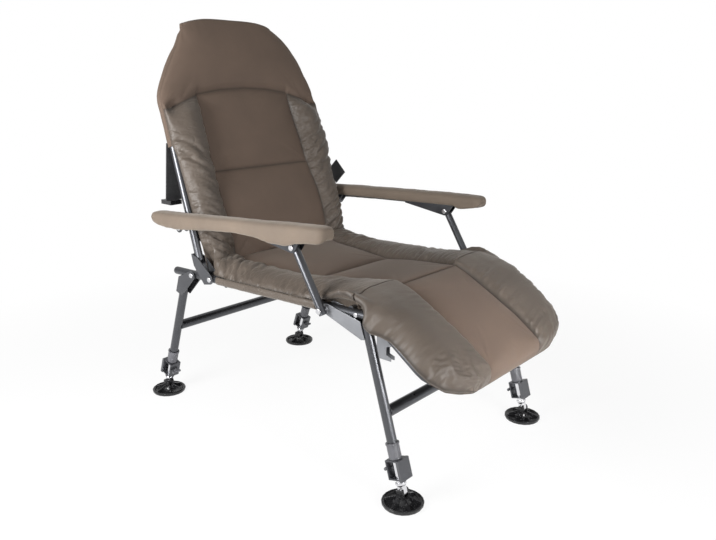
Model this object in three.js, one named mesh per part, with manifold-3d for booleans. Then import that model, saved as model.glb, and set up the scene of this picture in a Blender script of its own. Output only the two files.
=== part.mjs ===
// Reclining bankside chair with a padded leg rest. Millimetres, +Z up, the sitter faces -Y.
import * as THREE from 'three';
import { mergeVertices } from 'three/addons/utils/BufferGeometryUtils.js';
import Module from 'manifold-3d';

const wasm = await Module();
wasm.setup();

const degree = Math.PI / 180;
const quarterTurn = Math.PI / 2;
const fullTurn = 2 * Math.PI;

// Fits
const touchGap = 0.3;
const slideGap = 0.4;
const overrun = 4;
const weldDistance = 0.001;

// Faces round a section
const tubeSides = 14;
const barSides = 10;
const holeSides = 8;
const beltSteps = 12;

// Seat frame
const seatHeight = 376.5;
const seatTilt = 2;
const halfSpan = 256;
const frameTube = 20;
const frameWall = 1.5;
const seatTubeRear = 344;
const seatTubeFront = 330;
const plugRound = 7;
const railTube = 14;
const railDrop = 8.5;
const rearRailBehind = 140;
const frontRailAhead = 270;
const frontRailRise = 7.5;
const slingThickness = 2;
const slingRear = 168;
const slingMargin = 8;

// Pivots along the seat tube, measured from the middle of the chair
const backHingeBehind = 186;
const rearLegBehind = 259;
const frontLegAhead = 212;
const legRestAhead = 290;

// Rivets
const rivetShank = 8;
const rivetHead = 14;
const headThickness = 2.6;
const smallShank = 6;
const flushHead = 10;
const flushThickness = 0.7;

// Back
const backLean = 16.5;
const backTubeStart = 52;
const shoulderAt = 462;
const hoopTop = 645;
const hoopInset = 118;
const shoulderBend = 90;
const hoopBend = 46;
const bendSteps = 5;
const lumbarRailAt = 250;
const backSlingStart = 98;
const backSlingEnd = 316;
const pocketStart = 338;
const hingePlate = 2.5;
const hingeRound = 12;
const hingeTop = 72;
const hingeNotch = 58;
const hingeWebStart = 42;
const hingeSweep = 24;

// Arms and struts
const strutLength = 145.4;
const strutLean = 31.5;
const strutTube = 18;
const strutWall = 1.5;
const strutOverEye = 10;
const armStandOff = 28;
const padWidth = 50;
const padThickness = 38;
const padRise = 5;
const padTilt = 1.2;
const padFlank = 15;
const padStandOff = 12.5;
const padBehind = 96;
const padAhead = 109;
const padEndRound = 27;
const channelSheet = 2;
const channelRoof = 17.4;
const cheekRound = 11.5;
const rearCheek = 30;
const frontCheek = 132;

// Legs, seen along each leg from the foot pin upwards
const footReach = 414;
const pinHeight = 27;
const legTube = 22;
const legWall = 1.2;
const rearLegLean = 19.3;
const frontLegLean = 16.6;
const rearCrossbarAt = 192;
const frontCrossbarAt = 171;
const crossbarTube = 25;
const bracketSheet = 2.5;
const bracketRound = 12;
const bracketGrip = 46;
const collarTube = 27.5;
const collarFoot = 73.6;
const collarTop = 108;
const lipTube = 30;
const lipHeight = 4;
const boxFoot = 31;
const boxTop = 73.2;
const boxWidth = 32;
const boxDepth = 34;
const boxWall = 3;
const facePlate = 4;
const faceLap = 2;
const leverBarrel = 8;
const leverHeight = 52;
const leverReach = 25;
const wingTube = 7;
const wingSpan = 24;

// Inner legs and feet
const innerTube = 19;
const innerWall = 1.2;
const innerTop = 232;
const flareTop = 22;
const flareFoot = 11.5;
const flareTube = 24;
const tongueWidth = 11;
const eyeRound = 8;
const pinTube = 6;
const adjustHole = 6;
const adjustHoles = 4;
const adjustPitch = 25;
const firstAdjust = 92;
const footDisc = 90;
const footSides = 20;
const footRibs = 6;
const ribThickness = 4;
const ribInner = 8;
const ribOuter = 41;
const earInner = 6;
const earThickness = 5;
const earRound = 9;
const earFoot = 6;
const pinHead = 9;
const pinHeadThickness = 1.6;

// Leg rest
const legRestSlope = 31;
const restFrameTilt = 4;
const restTube = 13;
const restArmInset = 22;
const restReach = 215;
const restCorner = 48;
const restStub = 9;
const restSlingStart = 75;
const catchInset = 71;
const catchWidth = 14;
const catchSheet = 2;
const catchRound = 11.5;
const catchClear = 2;
const catchDrop = 122;
const catchBack = 17;
const catchFace = 56;
const catchShoulder = 46;
const catchHeel = 4;
const catchToe = 6;
const notchTop = 88;
const notchFoot = 114;
const notchSlope = 4;
const notchDepth = 13;
const catchChest = 62;

// Cushions
const seatCushionBehind = 172;
const seatSeamAhead = 51;
const foldSeamAhead = 284;
const seatOverhang = 12;
const seatBolsterRear = 93;
const seatBolsterMiddle = 116;
const seatBolsterFront = 147;
const seatSeamHeight = 11;
const foldSeamHeight = 31;
const sleeveDrop = 7;
const sleeveAhead = 175;
const sleeveBehind = 165;
const liftedHem = 14;
const backOverhang = 14;
const backBolster = 93;
const backCushionStart = 34;
const backMiddleSeam = 265;
const headSeam = 478;
const backCushionTop = 668;
const backFace = 26;
const headFace = 18;
const pocketBack = 14;
const headRoundShare = 0.96;
const panelCrown = 16;
const bolsterCrown = 30;
const headCrown = 26;
const restOverhang = 10;
const restBolster = 150;
const restSeamHeight = 28;
const restCushionRise = 9;
const restCushionReach = 266;
const restUnderside = 7.2;
const restHem = 22;
const restSideRise = 11;

// Carry strap behind the back
const strapWidth = 50;
const strapThickness = 3;
const strapOverhang = 11;
const strapTopRise = 317.5;
const strapFootBehind = 350;
const buckleWidth = 34;
const buckleDepth = 42;
const buckleHeight = 11;
const buckleBehind = 364;
const buckleRise = 164.5;
const strapTab = 50;
const strapTabBehind = 270;
const strapTabRise = 202.5;

// Shapes given as shares: place along a side, then size there
const catchHipShare = 0.4;
const bracketEdgeShare = 0.3;
const bracketWebShare = 0.72;
const foldBolsterShare = 0.33;
const seatBolsterShare = 0.6;
const backTopShares = [
  [0.5, 1], [0.67, 1], [0.7, 0.993], [0.745, 0.95], [0.84, 0.806], [0.94, 0.63], [0.975, 0.56], [1, 0.47],
];
const backFootShares = [0.86, 0.89, 0.955, 0.965];
const backPanelShare = 0.86;
const backFootBolsterShare = 0.5;
const headRowShares = [0.12, 0.3, 0.5, 0.68, 0.82, 0.93, 1];
const headSwellStart = 0.12;
const headBolsterShare = 0.35;
const swellPower = 0.6;
const headEdgePower = 6;
const restWidthShares = [
  [0.12, 1], [0.4, 1], [0.68, 0.96], [0.81, 0.915], [0.9, 0.84], [0.965, 0.73], [1, 0.62],
];
const restHeadShare = 0.985;
const restRowShares = [0.02, 0.1, 0.25, 0.4, 0.55, 0.68, 0.81, 0.9, 0.965, 1];
const restTailStart = 0.8;
const restTailSpan = 0.21;
const restTailPower = 3;
const restPanelShare = 0.8;
const restSeamShares = [0.25, 0.75];
const restBolsterShare = 0.75;
const restStartShares = [0.4, 0.6];
const restCrownShare = 0.8;
const padEndShares = [0.03, 0.2, 0.5, 0.8, 1];
const padSquareness = 0.6;
const padSides = 16;
const plugSteps = 4;
const footDiscShares = [
  [0, 0], [0.96, 0], [1, 0.07], [1, 0.16], [0.955, 0.2], [0.89, 0.185], [0.8, 0.1], [0.5, 0.1],
  [0.36, 0.2], [0.29, 0.36], [0, 0.36],
];
const ribShares = { foot: 0.04, rim: 0.17, hub: 0.42 };

// Values that follow from the ones above
const frontRailAt = -frontRailAhead;
const frontLegAt = -frontLegAhead;
const legRestAt = -legRestAhead;
const hoopHalfWidth = halfSpan - hoopInset;
const armCentre = halfSpan + armStandOff;
const padInner = halfSpan + padStandOff;
const restArmAt = halfSpan - restArmInset;
const catchAt = halfSpan - catchInset;
const seatSeamAt = -seatSeamAhead;
const foldSeamAt = -foldSeamAhead;
const sleeveFront = -sleeveAhead;
const seatHalfWidth = halfSpan + seatOverhang;
const seatPanelRear = halfSpan - seatBolsterRear;
const seatPanelMiddle = halfSpan - seatBolsterMiddle;
const seatPanelFront = halfSpan - seatBolsterFront;
const backHalfWidth = halfSpan + backOverhang;
const backPanel = halfSpan - backBolster;
const restHalfWidth = halfSpan + restOverhang;
const restPanel = halfSpan - restBolster;
const restCushionStart = -restCushionRise;
const strapEdge = halfSpan + strapOverhang;
const strapTopHeight = seatHeight + strapTopRise;
const buckleMiddle = seatHeight + buckleRise;
const strapTabHeight = seatHeight + strapTabRise;
const tubeRadius = frameTube / 2;
const legRadius = legTube / 2;
const hingeOffset = strutLength * Math.sin((strutLean - backLean) * degree);
const armAlongBack = strutLength * Math.cos((strutLean - backLean) * degree);
const armSpan = backHingeBehind - frontLegAt;
const slingHalf = halfSpan - tubeRadius - slingMargin;
const slingFront = frontRailAt + catchRound + slideGap;
const rearRail = { y: rearRailBehind, z: -railDrop };
const frontRail = { y: frontRailAt, z: frontRailRise };

const paint = new THREE.MeshStandardMaterial({ color: 0x3b3d40, metalness: 0.6, roughness: 0.4 });
const bracketPaint = new THREE.MeshStandardMaterial({ color: 0x55575a, metalness: 0.6, roughness: 0.4 });
const bright = new THREE.MeshStandardMaterial({ color: 0xc9cbcf, metalness: 0.9, roughness: 0.25 });
const moulding = new THREE.MeshStandardMaterial({ color: 0x1b1b1d, roughness: 0.35 });
const canvas = new THREE.MeshStandardMaterial({ color: 0x17171a, roughness: 0.9 });
const fabric = new THREE.MeshStandardMaterial({ color: 0x6a5f50, roughness: 0.8 });

// Turns a closed geometry into a solid that can be joined and cut
function solidOf(geometry) {
  const bare = geometry.clone();
  bare.deleteAttribute('normal');
  bare.deleteAttribute('uv');
  const merged = mergeVertices(bare, weldDistance);
  return new wasm.Manifold(new wasm.Mesh({
    numProp: 3,
    vertProperties: new Float32Array(merged.attributes.position.array),
    triVerts: new Uint32Array(merged.index.array),
  }));
}

function geometryOf(solid) {
  const mesh = solid.getMesh();
  const geometry = new THREE.BufferGeometry();
  geometry.setAttribute('position', new THREE.BufferAttribute(new Float32Array(mesh.vertProperties), 3));
  geometry.setIndex(new THREE.BufferAttribute(new Uint32Array(mesh.triVerts), 1));
  return geometry;
}

function joined(...geometries) {
  return geometries.map(solidOf).reduce((whole, next) => whole.add(next));
}

function cut(solid, ...tools) {
  return tools.map(solidOf).reduce((whole, next) => whole.subtract(next), solid);
}

function piece(name, shape, material) {
  const geometry = shape.isBufferGeometry ? shape : geometryOf(shape);
  const mesh = new THREE.Mesh(geometry, material);
  mesh.name = name;
  return mesh;
}

// Skins a run of rings that have the same number of points. A looped run closes on itself.
function loft(rings, looped = false) {
  const count = rings[0].length;
  const points = rings.flat().flatMap((point) => [point.x, point.y, point.z]);
  const faces = [];
  const bands = looped ? rings.length : rings.length - 1;
  for (let band = 0; band < bands; band += 1) {
    const low = band * count;
    const high = ((band + 1) % rings.length) * count;
    for (let i = 0; i < count; i += 1) {
      const j = (i + 1) % count;
      faces.push(low + i, low + j, high + j, low + i, high + j, high + i);
    }
  }
  if (!looped) {
    const last = (rings.length - 1) * count;
    for (let i = 1; i < count - 1; i += 1) {
      faces.push(0, i + 1, i, last, last + i, last + i + 1);
    }
  }
  const geometry = new THREE.BufferGeometry();
  geometry.setAttribute('position', new THREE.Float32BufferAttribute(points, 3));
  geometry.setIndex(faces);
  return facingOut(geometry);
}

function facingOut(geometry) {
  const place = geometry.attributes.position;
  const index = geometry.index;
  const corners = [new THREE.Vector3(), new THREE.Vector3(), new THREE.Vector3()];
  let volume = 0;
  for (let i = 0; i < index.count; i += 3) {
    corners.forEach((corner, k) => corner.fromBufferAttribute(place, index.getX(i + k)));
    volume += corners[0].dot(corners[1].clone().cross(corners[2]));
  }
  if (volume < 0) {
    index.array.reverse();
  }
  return geometry;
}

// Ring of points square to a flat path, mitred at each bend
function pathRing(points, index, normal, radius, sides) {
  const here = points[index];
  const before = points[Math.max(index - 1, 0)];
  const after = points[Math.min(index + 1, points.length - 1)];
  const into = here.clone().sub(index > 0 ? before : here);
  const out = after.clone().sub(here);
  const tangent = into.normalize().add(out.normalize()).normalize();
  const side = new THREE.Vector3().crossVectors(normal, tangent);
  const bend = index > 0 && index < points.length - 1 ? tangent.dot(out) : 1;
  return Array.from({ length: sides }, (_, k) => {
    const turn = (fullTurn * (k + 0.5)) / sides;
    return here.clone()
      .addScaledVector(normal, radius * Math.cos(turn))
      .addScaledVector(side, (radius * Math.sin(turn)) / bend);
  });
}

// Tube along a flat path. A wall leaves the bore open at both ends.
function tube(points, normal, diameter, sides, wall = 0) {
  const outer = points.map((_, i) => pathRing(points, i, normal, diameter / 2, sides));
  if (wall === 0) {
    return loft(outer);
  }
  const inner = points.map((_, i) => pathRing(points, i, normal, diameter / 2 - wall, sides));
  return loft([...outer, ...inner.reverse()], true);
}

const at = (x, y, z) => new THREE.Vector3(x, y, z);
const acrossAxis = at(1, 0, 0);
const alongAxis = at(0, 1, 0);
const upAxis = at(0, 0, 1);

function rod(from, to, diameter, sides, wall = 0) {
  const direction = to.clone().sub(from).normalize();
  const helper = Math.abs(direction.x) > 0.5 ? upAxis : acrossAxis;
  const normal = helper.clone().addScaledVector(direction, -helper.dot(direction)).normalize();
  return tube([from, to], normal, diameter, sides, wall);
}

const crossRod = (fromX, toX, y, z, diameter, sides) => rod(at(fromX, y, z), at(toX, y, z), diameter, sides);

// Points of a path whose corners are rounded by arcs
function roundedPath(corners, radii) {
  const path = [corners[0]];
  for (let i = 1; i < corners.length - 1; i += 1) {
    const back = corners[i - 1].clone().sub(corners[i]).normalize();
    const ahead = corners[i + 1].clone().sub(corners[i]).normalize();
    const half = Math.acos(back.dot(ahead)) / 2;
    const centre = corners[i].clone()
      .addScaledVector(back.clone().add(ahead).normalize(), radii[i - 1] / Math.sin(half));
    const start = corners[i].clone().addScaledVector(back, radii[i - 1] / Math.tan(half)).sub(centre);
    const end = corners[i].clone().addScaledVector(ahead, radii[i - 1] / Math.tan(half)).sub(centre);
    const sweep = start.angleTo(end);
    for (let step = 0; step <= bendSteps; step += 1) {
      const share = step / bendSteps;
      const arc = start.clone().multiplyScalar(Math.sin((1 - share) * sweep) / Math.sin(sweep))
        .addScaledVector(end, Math.sin(share * sweep) / Math.sin(sweep));
      path.push(centre.clone().add(arc));
    }
  }
  path.push(corners[corners.length - 1]);
  return path;
}

// Sheet seen from the side: the outline is in Y and Z and the thickness lies along X
function sidePlate(outline, fromX, toX) {
  const shape = new THREE.Shape(outline.map(([y, z]) => new THREE.Vector2(y, z)));
  const geometry = new THREE.ExtrudeGeometry(shape, { depth: toX - fromX, bevelEnabled: false });
  geometry.applyMatrix4(new THREE.Matrix4().makeBasis(alongAxis, upAxis, acrossAxis));
  return geometry.translate(fromX, 0, 0);
}

// The same sheet on both sides of a tube, with the gap that lets it turn
function pairOfPlates(outline, innerHalf, sheet) {
  return [
    sidePlate(outline, innerHalf, innerHalf + sheet),
    sidePlate(outline, -innerHalf - sheet, -innerHalf),
  ];
}

// Outline that runs round one or more bosses, as a belt round pulleys, each given as y, z and radius
function beltOutline(bosses) {
  const points = [];
  bosses.forEach(([y, z, radius]) => {
    for (let i = 0; i < beltSteps; i += 1) {
      const turn = (fullTurn * i) / beltSteps;
      points.push([y + radius * Math.cos(turn), z + radius * Math.sin(turn)]);
    }
  });
  return hull(points);
}

function hull(points) {
  const sorted = [...points].sort((a, b) => a[0] - b[0] || a[1] - b[1]);
  const turns = (o, a, b) => (a[0] - o[0]) * (b[1] - o[1]) - (a[1] - o[1]) * (b[0] - o[0]);
  const chain = (list) => {
    const kept = [];
    list.forEach((point) => {
      while (kept.length > 1 && turns(kept[kept.length - 2], kept[kept.length - 1], point) <= 0) {
        kept.pop();
      }
      kept.push(point);
    });
    kept.pop();
    return kept;
  };
  return [...chain(sorted), ...chain(sorted.reverse())];
}

// Lathe about the given rod, its profile in radius and place along X
function rivet(name, profile, y, z) {
  const points = profile.map(([radius, x]) => new THREE.Vector2(radius, x));
  const geometry = new THREE.LatheGeometry(points, barSides);
  geometry.rotateZ(-quarterTurn);
  const body = facingOut(mergeIndexed(geometry));
  return piece(name, body.translate(0, y, z), bright);
}

function mergeIndexed(geometry) {
  geometry.deleteAttribute('normal');
  geometry.deleteAttribute('uv');
  return mergeVertices(geometry, weldDistance);
}

// Width across the corners of a drilled hole whose flats still clear the given shank
const clearHole = (shank) => (shank + touchGap + touchGap) / Math.cos(Math.PI / holeSides);

// A rivet from an inner head to an outer head, with an optional spacer between two places
function rivetProfile(innerX, outerX, shank, head, thickness, spacer = null) {
  const shankRadius = shank / 2;
  const headRadius = head / 2;
  const dome = thickness / 2;
  const profile = [
    [0, innerX - thickness],
    [headRadius - dome, innerX - thickness],
    [headRadius, innerX - dome],
    [headRadius, innerX],
    [shankRadius, innerX],
  ];
  if (spacer) {
    const [near, far] = spacer;
    profile.push([shankRadius, near], [headRadius, near], [headRadius, far], [shankRadius, far]);
  }
  profile.push(
    [shankRadius, outerX],
    [headRadius, outerX],
    [headRadius, outerX + dome],
    [headRadius - dome, outerX + thickness],
    [0, outerX + thickness],
  );
  return profile;
}

const mirroredProfile = (profile) => profile.map(([radius, x]) => [radius, -x]);
const sides = [{ side: 'left', sign: 1 }, { side: 'right', sign: -1 }];

function sidedRivet(name, profile, sign, y, z) {
  return rivet(name, sign > 0 ? profile : mirroredProfile(profile), y, z);
}

// Cross section of a cushion: upper skin from one hem to the other, then the underside
const bolsterShares = [1, 0.93, 0.72, 0.45, 0.18, 0];
const panelShares = [0.86, 0.45, 0];
const turnedShare = 0.97;
const flatShare = 0.94;

function cushionRing({ half, panel, hem, seam, bolster, crown, under, place }) {
  const right = [];
  bolsterShares.forEach((share) => {
    const x = panel + (half - panel) * share;
    const rise = bolster * Math.sin(Math.PI * (1 - share) ** 0.75);
    right.push([x, hem * share + seam * (1 - share) + rise]);
  });
  panelShares.forEach((share) => {
    right.push([panel * share, seam + crown * (1 - share ** 4)]);
  });
  const left = right.slice(0, -1).reverse().map(([x, height]) => [-x, height]);
  const flat = Math.min(half * flatShare, slingHalf + touchGap);
  const below = [-half * turnedShare, -flat, 0, flat, half * turnedShare].map((x) => [x, under(Math.abs(x))]);
  return [...right, ...left, ...below].map(([x, height]) => place(x, height));
}

// Straight-line reading of a short table of stations and values
function reading(table, station) {
  const next = table.findIndex(([at]) => at >= station);
  if (next <= 0) {
    return table[next === 0 ? 0 : table.length - 1][1];
  }
  const [lowAt, low] = table[next - 1];
  const [highAt, high] = table[next];
  return low + ((high - low) * (station - lowAt)) / (highAt - lowAt);
}

// Stations of a sewn panel between two seams, close together beside each seam
const panelStations = [0, 0.07, 0.25, 0.5, 0.75, 0.93];
const swell = (share) => Math.sin(Math.PI * share) ** 0.5;

function panelRows(from, to) {
  return panelStations.map((share) => ({ station: from + (to - from) * share, full: swell(share) }));
}

function seatFrame() {
  const parts = sides.flatMap(({ sign }) => {
    const x = sign * halfSpan;
    const plugStart = seatTubeRear - plugRound;
    return [
      rod(at(x, -seatTubeFront, 0), at(x, plugStart, 0), frameTube, tubeSides, frameWall),
      rod(at(x, plugStart - plugRound, 0), at(x, plugStart, 0), frameTube, tubeSides),
      plugEnd(x, plugStart),
    ];
  });
  const rails = [rearRail, frontRail].map(({ y, z }) => (
    crossRod(-halfSpan, halfSpan, y, z, railTube, barSides)
  ));
  const whole = joined(...parts, ...rails);
  const bores = sides.map(({ sign }) => {
    const x = sign * halfSpan;
    return rod(at(x, -seatTubeFront - overrun, 0), at(x, seatTubeRear - plugRound - plugRound, 0),
      frameTube - frameWall - frameWall, tubeSides);
  });
  const drilled = [
    [backHingeBehind, rivetShank],
    [rearLegBehind, rivetShank],
    [frontLegAt, rivetShank],
    [legRestAt, smallShank],
  ];
  const holes = drilled.map(([y, shank]) => (
    crossRod(-halfSpan - frameTube, halfSpan + frameTube, y, 0, clearHole(shank), holeSides)
  ));
  return piece('seat_frame', cut(whole, ...bores, ...holes), paint);
}

// Rounded stopper in the rear end of a seat tube
function plugEnd(x, start) {
  const rings = Array.from({ length: plugSteps }, (_, i) => {
    const turn = (quarterTurn * i) / plugSteps;
    const radius = tubeRadius * Math.cos(turn);
    const y = start + plugRound * Math.sin(turn);
    return Array.from({ length: tubeSides }, (__, k) => {
      const around = (fullTurn * (k + 0.5)) / tubeSides;
      return at(x + radius * Math.cos(around), y, radius * Math.sin(around));
    });
  });
  return loft(rings);
}

function slab(fromX, toX, fromY, toY, fromZ, toZ) {
  const geometry = new THREE.BoxGeometry(toX - fromX, toY - fromY, toZ - fromZ);
  return geometry.translate((fromX + toX) / 2, (fromY + toY) / 2, (fromZ + toZ) / 2);
}

function seatCushion() {
  const places = [foldSeamAt, seatSeamAt, seatCushionBehind];
  const widths = [seatPanelFront, seatPanelMiddle, seatPanelRear].map((width, i) => [places[i], width]);
  const seams = [foldSeamHeight, seatSeamHeight, foldSeamHeight].map((height, i) => [places[i], height]);
  const hems = [
    [sleeveFront - tubeRadius, liftedHem],
    [sleeveFront, -sleeveDrop],
    [sleeveBehind, -sleeveDrop],
    [sleeveBehind + tubeRadius, liftedHem],
  ];
  const endSlope = Math.tan((legRestSlope + seatTilt) * degree);
  const rows = [
    ...panelRows(foldSeamAt, seatSeamAt),
    ...panelRows(seatSeamAt, seatCushionBehind),
    { station: seatCushionBehind, full: 0 },
  ];
  const rings = rows.map(({ station, full }, row) => {
    const seam = reading(seams, station);
    return cushionRing({
      half: seatHalfWidth,
      panel: reading(widths, station),
      hem: reading(hems, station),
      seam,
      bolster: bolsterCrown * (row === 0 ? foldBolsterShare : seatBolsterShare),
      crown: panelCrown * full,
      under: (x) => (x > halfSpan - tubeRadius ? reading(hems, station) : slingThickness / 2 + touchGap),
      place: (x, height) => at(x, station - (row === 0 ? (height - foldSeamHeight) * endSlope : 0), height),
    });
  });
  return loft(rings);
}

function clearTube(x, fromY, toY) {
  return rod(at(x, fromY, 0), at(x, toY, 0), frameTube + slideGap + slideGap, tubeSides);
}

// Where the seat cushion gives way to the side tubes, the front rail and the leg brackets
function seatReliefs() {
  const boss = bracketRound + slideGap;
  const reach = legRadius + slideGap + bracketSheet + headThickness + slideGap + touchGap;
  return [
    ...[rearRail, frontRail].map(({ y, z }) => crossRod(-halfSpan, halfSpan, y, z,
      railTube + slideGap + slideGap, barSides)),
    ...sides.map(({ sign }) => clearTube(sign * halfSpan, -seatTubeRear, seatTubeRear)),
    ...sides.map(({ sign }) => slab(sign * halfSpan - reach, sign * halfSpan + reach,
      frontLegAt - boss - boss - boss, frontLegAt + boss, -boss, boss)),
    ...sides.map(({ sign }) => crossRod(sign * catchAt - catchWidth, sign * catchAt + catchWidth,
      frontRail.y, frontRail.z, catchRound + catchRound + catchClear + catchClear, barSides)),
    ...sides.map(({ sign }) => slab(sign * halfSpan - reach, sign * halfSpan + reach,
      backHingeBehind - hingeRound - hingeSweep, backHingeBehind, -boss, hingeOffset)),
  ];
}

function seat() {
  const group = new THREE.Group();
  const sling = slab(-slingHalf, slingHalf, slingFront, slingRear, -slingThickness / 2, slingThickness / 2);
  group.add(
    seatFrame(),
    piece('seat_sling', sling, canvas),
    piece('seat_cushion', cut(solidOf(seatCushion()), ...seatReliefs()), fabric),
  );
  sides.forEach(({ side, sign }) => {
    group.add(
      sidedRivet(`hinge_rivet_${side}`, stackProfile(hingePlate, frameTube), sign, backHingeBehind, 0),
      sidedRivet(`rear_leg_rivet_${side}`, stackProfile(bracketSheet, legTube), sign, rearLegBehind, 0),
      sidedRivet(`front_leg_rivet_${side}`, strutStackProfile(), sign, frontLegAt, 0),
      sidedRivet(`leg_rest_rivet_${side}`, restStackProfile(), sign, legRestAt, 0),
    );
  });
  group.position.z = seatHeight;
  group.rotation.x = -seatTilt * degree;
  return group;
}

// A rivet through two sheets that straddle a tube
function stackProfile(sheet, widestTube) {
  const reach = widestTube / 2 + slideGap + sheet + touchGap;
  return rivetProfile(halfSpan - reach, halfSpan + reach, rivetShank, rivetHead, headThickness);
}

function strutStackProfile() {
  const reach = legRadius + slideGap + bracketSheet + touchGap;
  const strutRadius = strutTube / 2;
  const spacer = [halfSpan + reach, armCentre - strutRadius - touchGap];
  const outer = armCentre + strutRadius + touchGap;
  return rivetProfile(halfSpan - reach, outer, rivetShank, rivetHead, headThickness, spacer);
}

function restStackProfile() {
  const inner = restArmAt - restTube / 2 - touchGap;
  return rivetProfile(inner, halfSpan + tubeRadius, smallShank, flushHead, flushThickness);
}

function backFrame() {
  const corners = [
    at(halfSpan, 0, backTubeStart),
    at(halfSpan, 0, shoulderAt),
    at(hoopHalfWidth, 0, hoopTop),
    at(-hoopHalfWidth, 0, hoopTop),
    at(-halfSpan, 0, shoulderAt),
    at(-halfSpan, 0, backTubeStart),
  ];
  return roundedPath(corners, [shoulderBend, hoopBend, hoopBend, shoulderBend]);
}

function backCushion() {
  const height = backCushionTop;
  const footStations = [
    backCushionStart,
    hingeTop + slideGap,
    hingeTop + tubeRadius,
    armAlongBack + padThickness,
  ];
  const outline = [
    ...footStations.map((station, i) => [station, backHalfWidth * backFootShares[i]]),
    ...backTopShares.map(([station, width]) => [height * station, backHalfWidth * width]),
  ];
  const rows = [
    { station: backCushionStart, full: 0 },
    ...panelRows(backCushionStart + tubeRadius, backMiddleSeam),
    ...panelRows(backMiddleSeam, headSeam),
    { station: headSeam, full: 0, head: true },
    ...headRowShares.map((share) => ({
      station: headSeam + (height - headSeam) * share, full: share, head: true,
    })),
  ];
  return loft(rows.map((row) => backRing(row, reading(outline, row.station))));
}

// One section of the back: bolsters beside a panel, or the head pocket right across
function backRing({ station, full, head }, half) {
  const bottom = station <= backCushionStart;
  const inPocket = station > pocketStart;
  const rounding = head ? Math.sqrt(1 - (full * headRoundShare) ** headEdgePower) : 1;
  const slope = [[backCushionStart, backFace], [headSeam, headFace]];
  const face = head ? headFace * rounding : reading(slope, station);
  const rear = inPocket ? -pocketBack * rounding : slingThickness / 2 + touchGap;
  const headSwell = Math.sin(Math.PI * Math.min(full + headSwellStart, 1)) ** swellPower;
  const swelled = head ? headCrown * headSwell : panelCrown * full;
  const gathered = bolsterCrown * (bottom ? backFootBolsterShare : 1);
  const onTube = (x) => x > halfSpan - tubeRadius && !inPocket;
  return cushionRing({
    half,
    panel: Math.min(backPanel, half * backPanelShare),
    hem: inPocket ? 0 : -slingThickness,
    seam: face,
    bolster: head ? headCrown * headBolsterShare * rounding : gathered,
    crown: swelled,
    under: (x) => (onTube(x) ? -slingThickness : rear),
    place: (x, height) => at(x, -height, station),
  });
}

function back() {
  const group = new THREE.Group();
  const path = backFrame();
  const lumbar = crossRod(-halfSpan, halfSpan, railDrop, lumbarRailAt, railTube, barSides);
  const bore = tube(path, alongAxis, frameTube - frameWall - frameWall, barSides);
  const armHole = crossRod(-halfSpan - frameTube, halfSpan + frameTube, 0, armAlongBack,
    clearHole(rivetShank), holeSides);
  const hoop = joined(tube(path, alongAxis, frameTube, barSides), lumbar);
  const slingSkin = slingThickness / 2;
  const sling = slab(-slingHalf, slingHalf, -slingSkin, slingSkin, backSlingStart, backSlingEnd);
  const groove = tube(path, alongAxis, frameTube + slideGap + slideGap, barSides);
  const headClear = rivetHead + slideGap + slideGap;
  const armReliefs = sides.map(({ sign }) => (
    crossRod(sign * (slingHalf + touchGap), sign * halfSpan, 0, armAlongBack, headClear, barSides)
  ));
  group.add(
    piece('back_frame', cut(hoop, bore, armHole), paint),
    piece('back_sling', sling, canvas),
    piece('back_cushion', cut(solidOf(backCushion()), groove, ...armReliefs), fabric),
  );
  sides.forEach(({ side, sign }) => {
    const plate = hingePlates();
    plate.position.x = sign * halfSpan;
    plate.name = `hinge_plate_${side}`;
    group.add(plate);
  });
  placeBack(group);
  return group;
}

function placeBack(group) {
  const hinge = onSeatLine(backHingeBehind);
  group.position.set(0,
    hinge.y + hingeOffset * Math.cos(backLean * degree),
    hinge.z - hingeOffset * Math.sin(backLean * degree));
  group.rotation.x = -backLean * degree;
}

function onSeatLine(y) {
  return at(0, y * Math.cos(seatTilt * degree), seatHeight - y * Math.sin(seatTilt * degree));
}

// Folded sheet that stands the back tube off from its hinge
function hingePlates() {
  const behind = tubeRadius + slideGap + hingePlate;
  const outline = hull([
    ...beltOutline([[-hingeOffset, 0, hingeRound]]),
    [-hingeRound, -hingeRound + hingePlate],
    [behind, hingeWebStart],
    [behind, hingeTop],
    [tubeRadius, hingeTop],
    [-tubeRadius, hingeNotch],
  ]);
  const innerHalf = tubeRadius + slideGap;
  const outerHalf = innerHalf + hingePlate;
  const web = slab(-outerHalf, outerHalf, behind - hingePlate, behind, hingeWebStart, hingeTop);
  const whole = joined(...pairOfPlates(outline, innerHalf, hingePlate), web);
  const hole = crossRod(-frameTube, frameTube, -hingeOffset, 0, clearHole(rivetShank), holeSides);
  return piece('', cut(whole, hole), bracketPaint);
}

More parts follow.
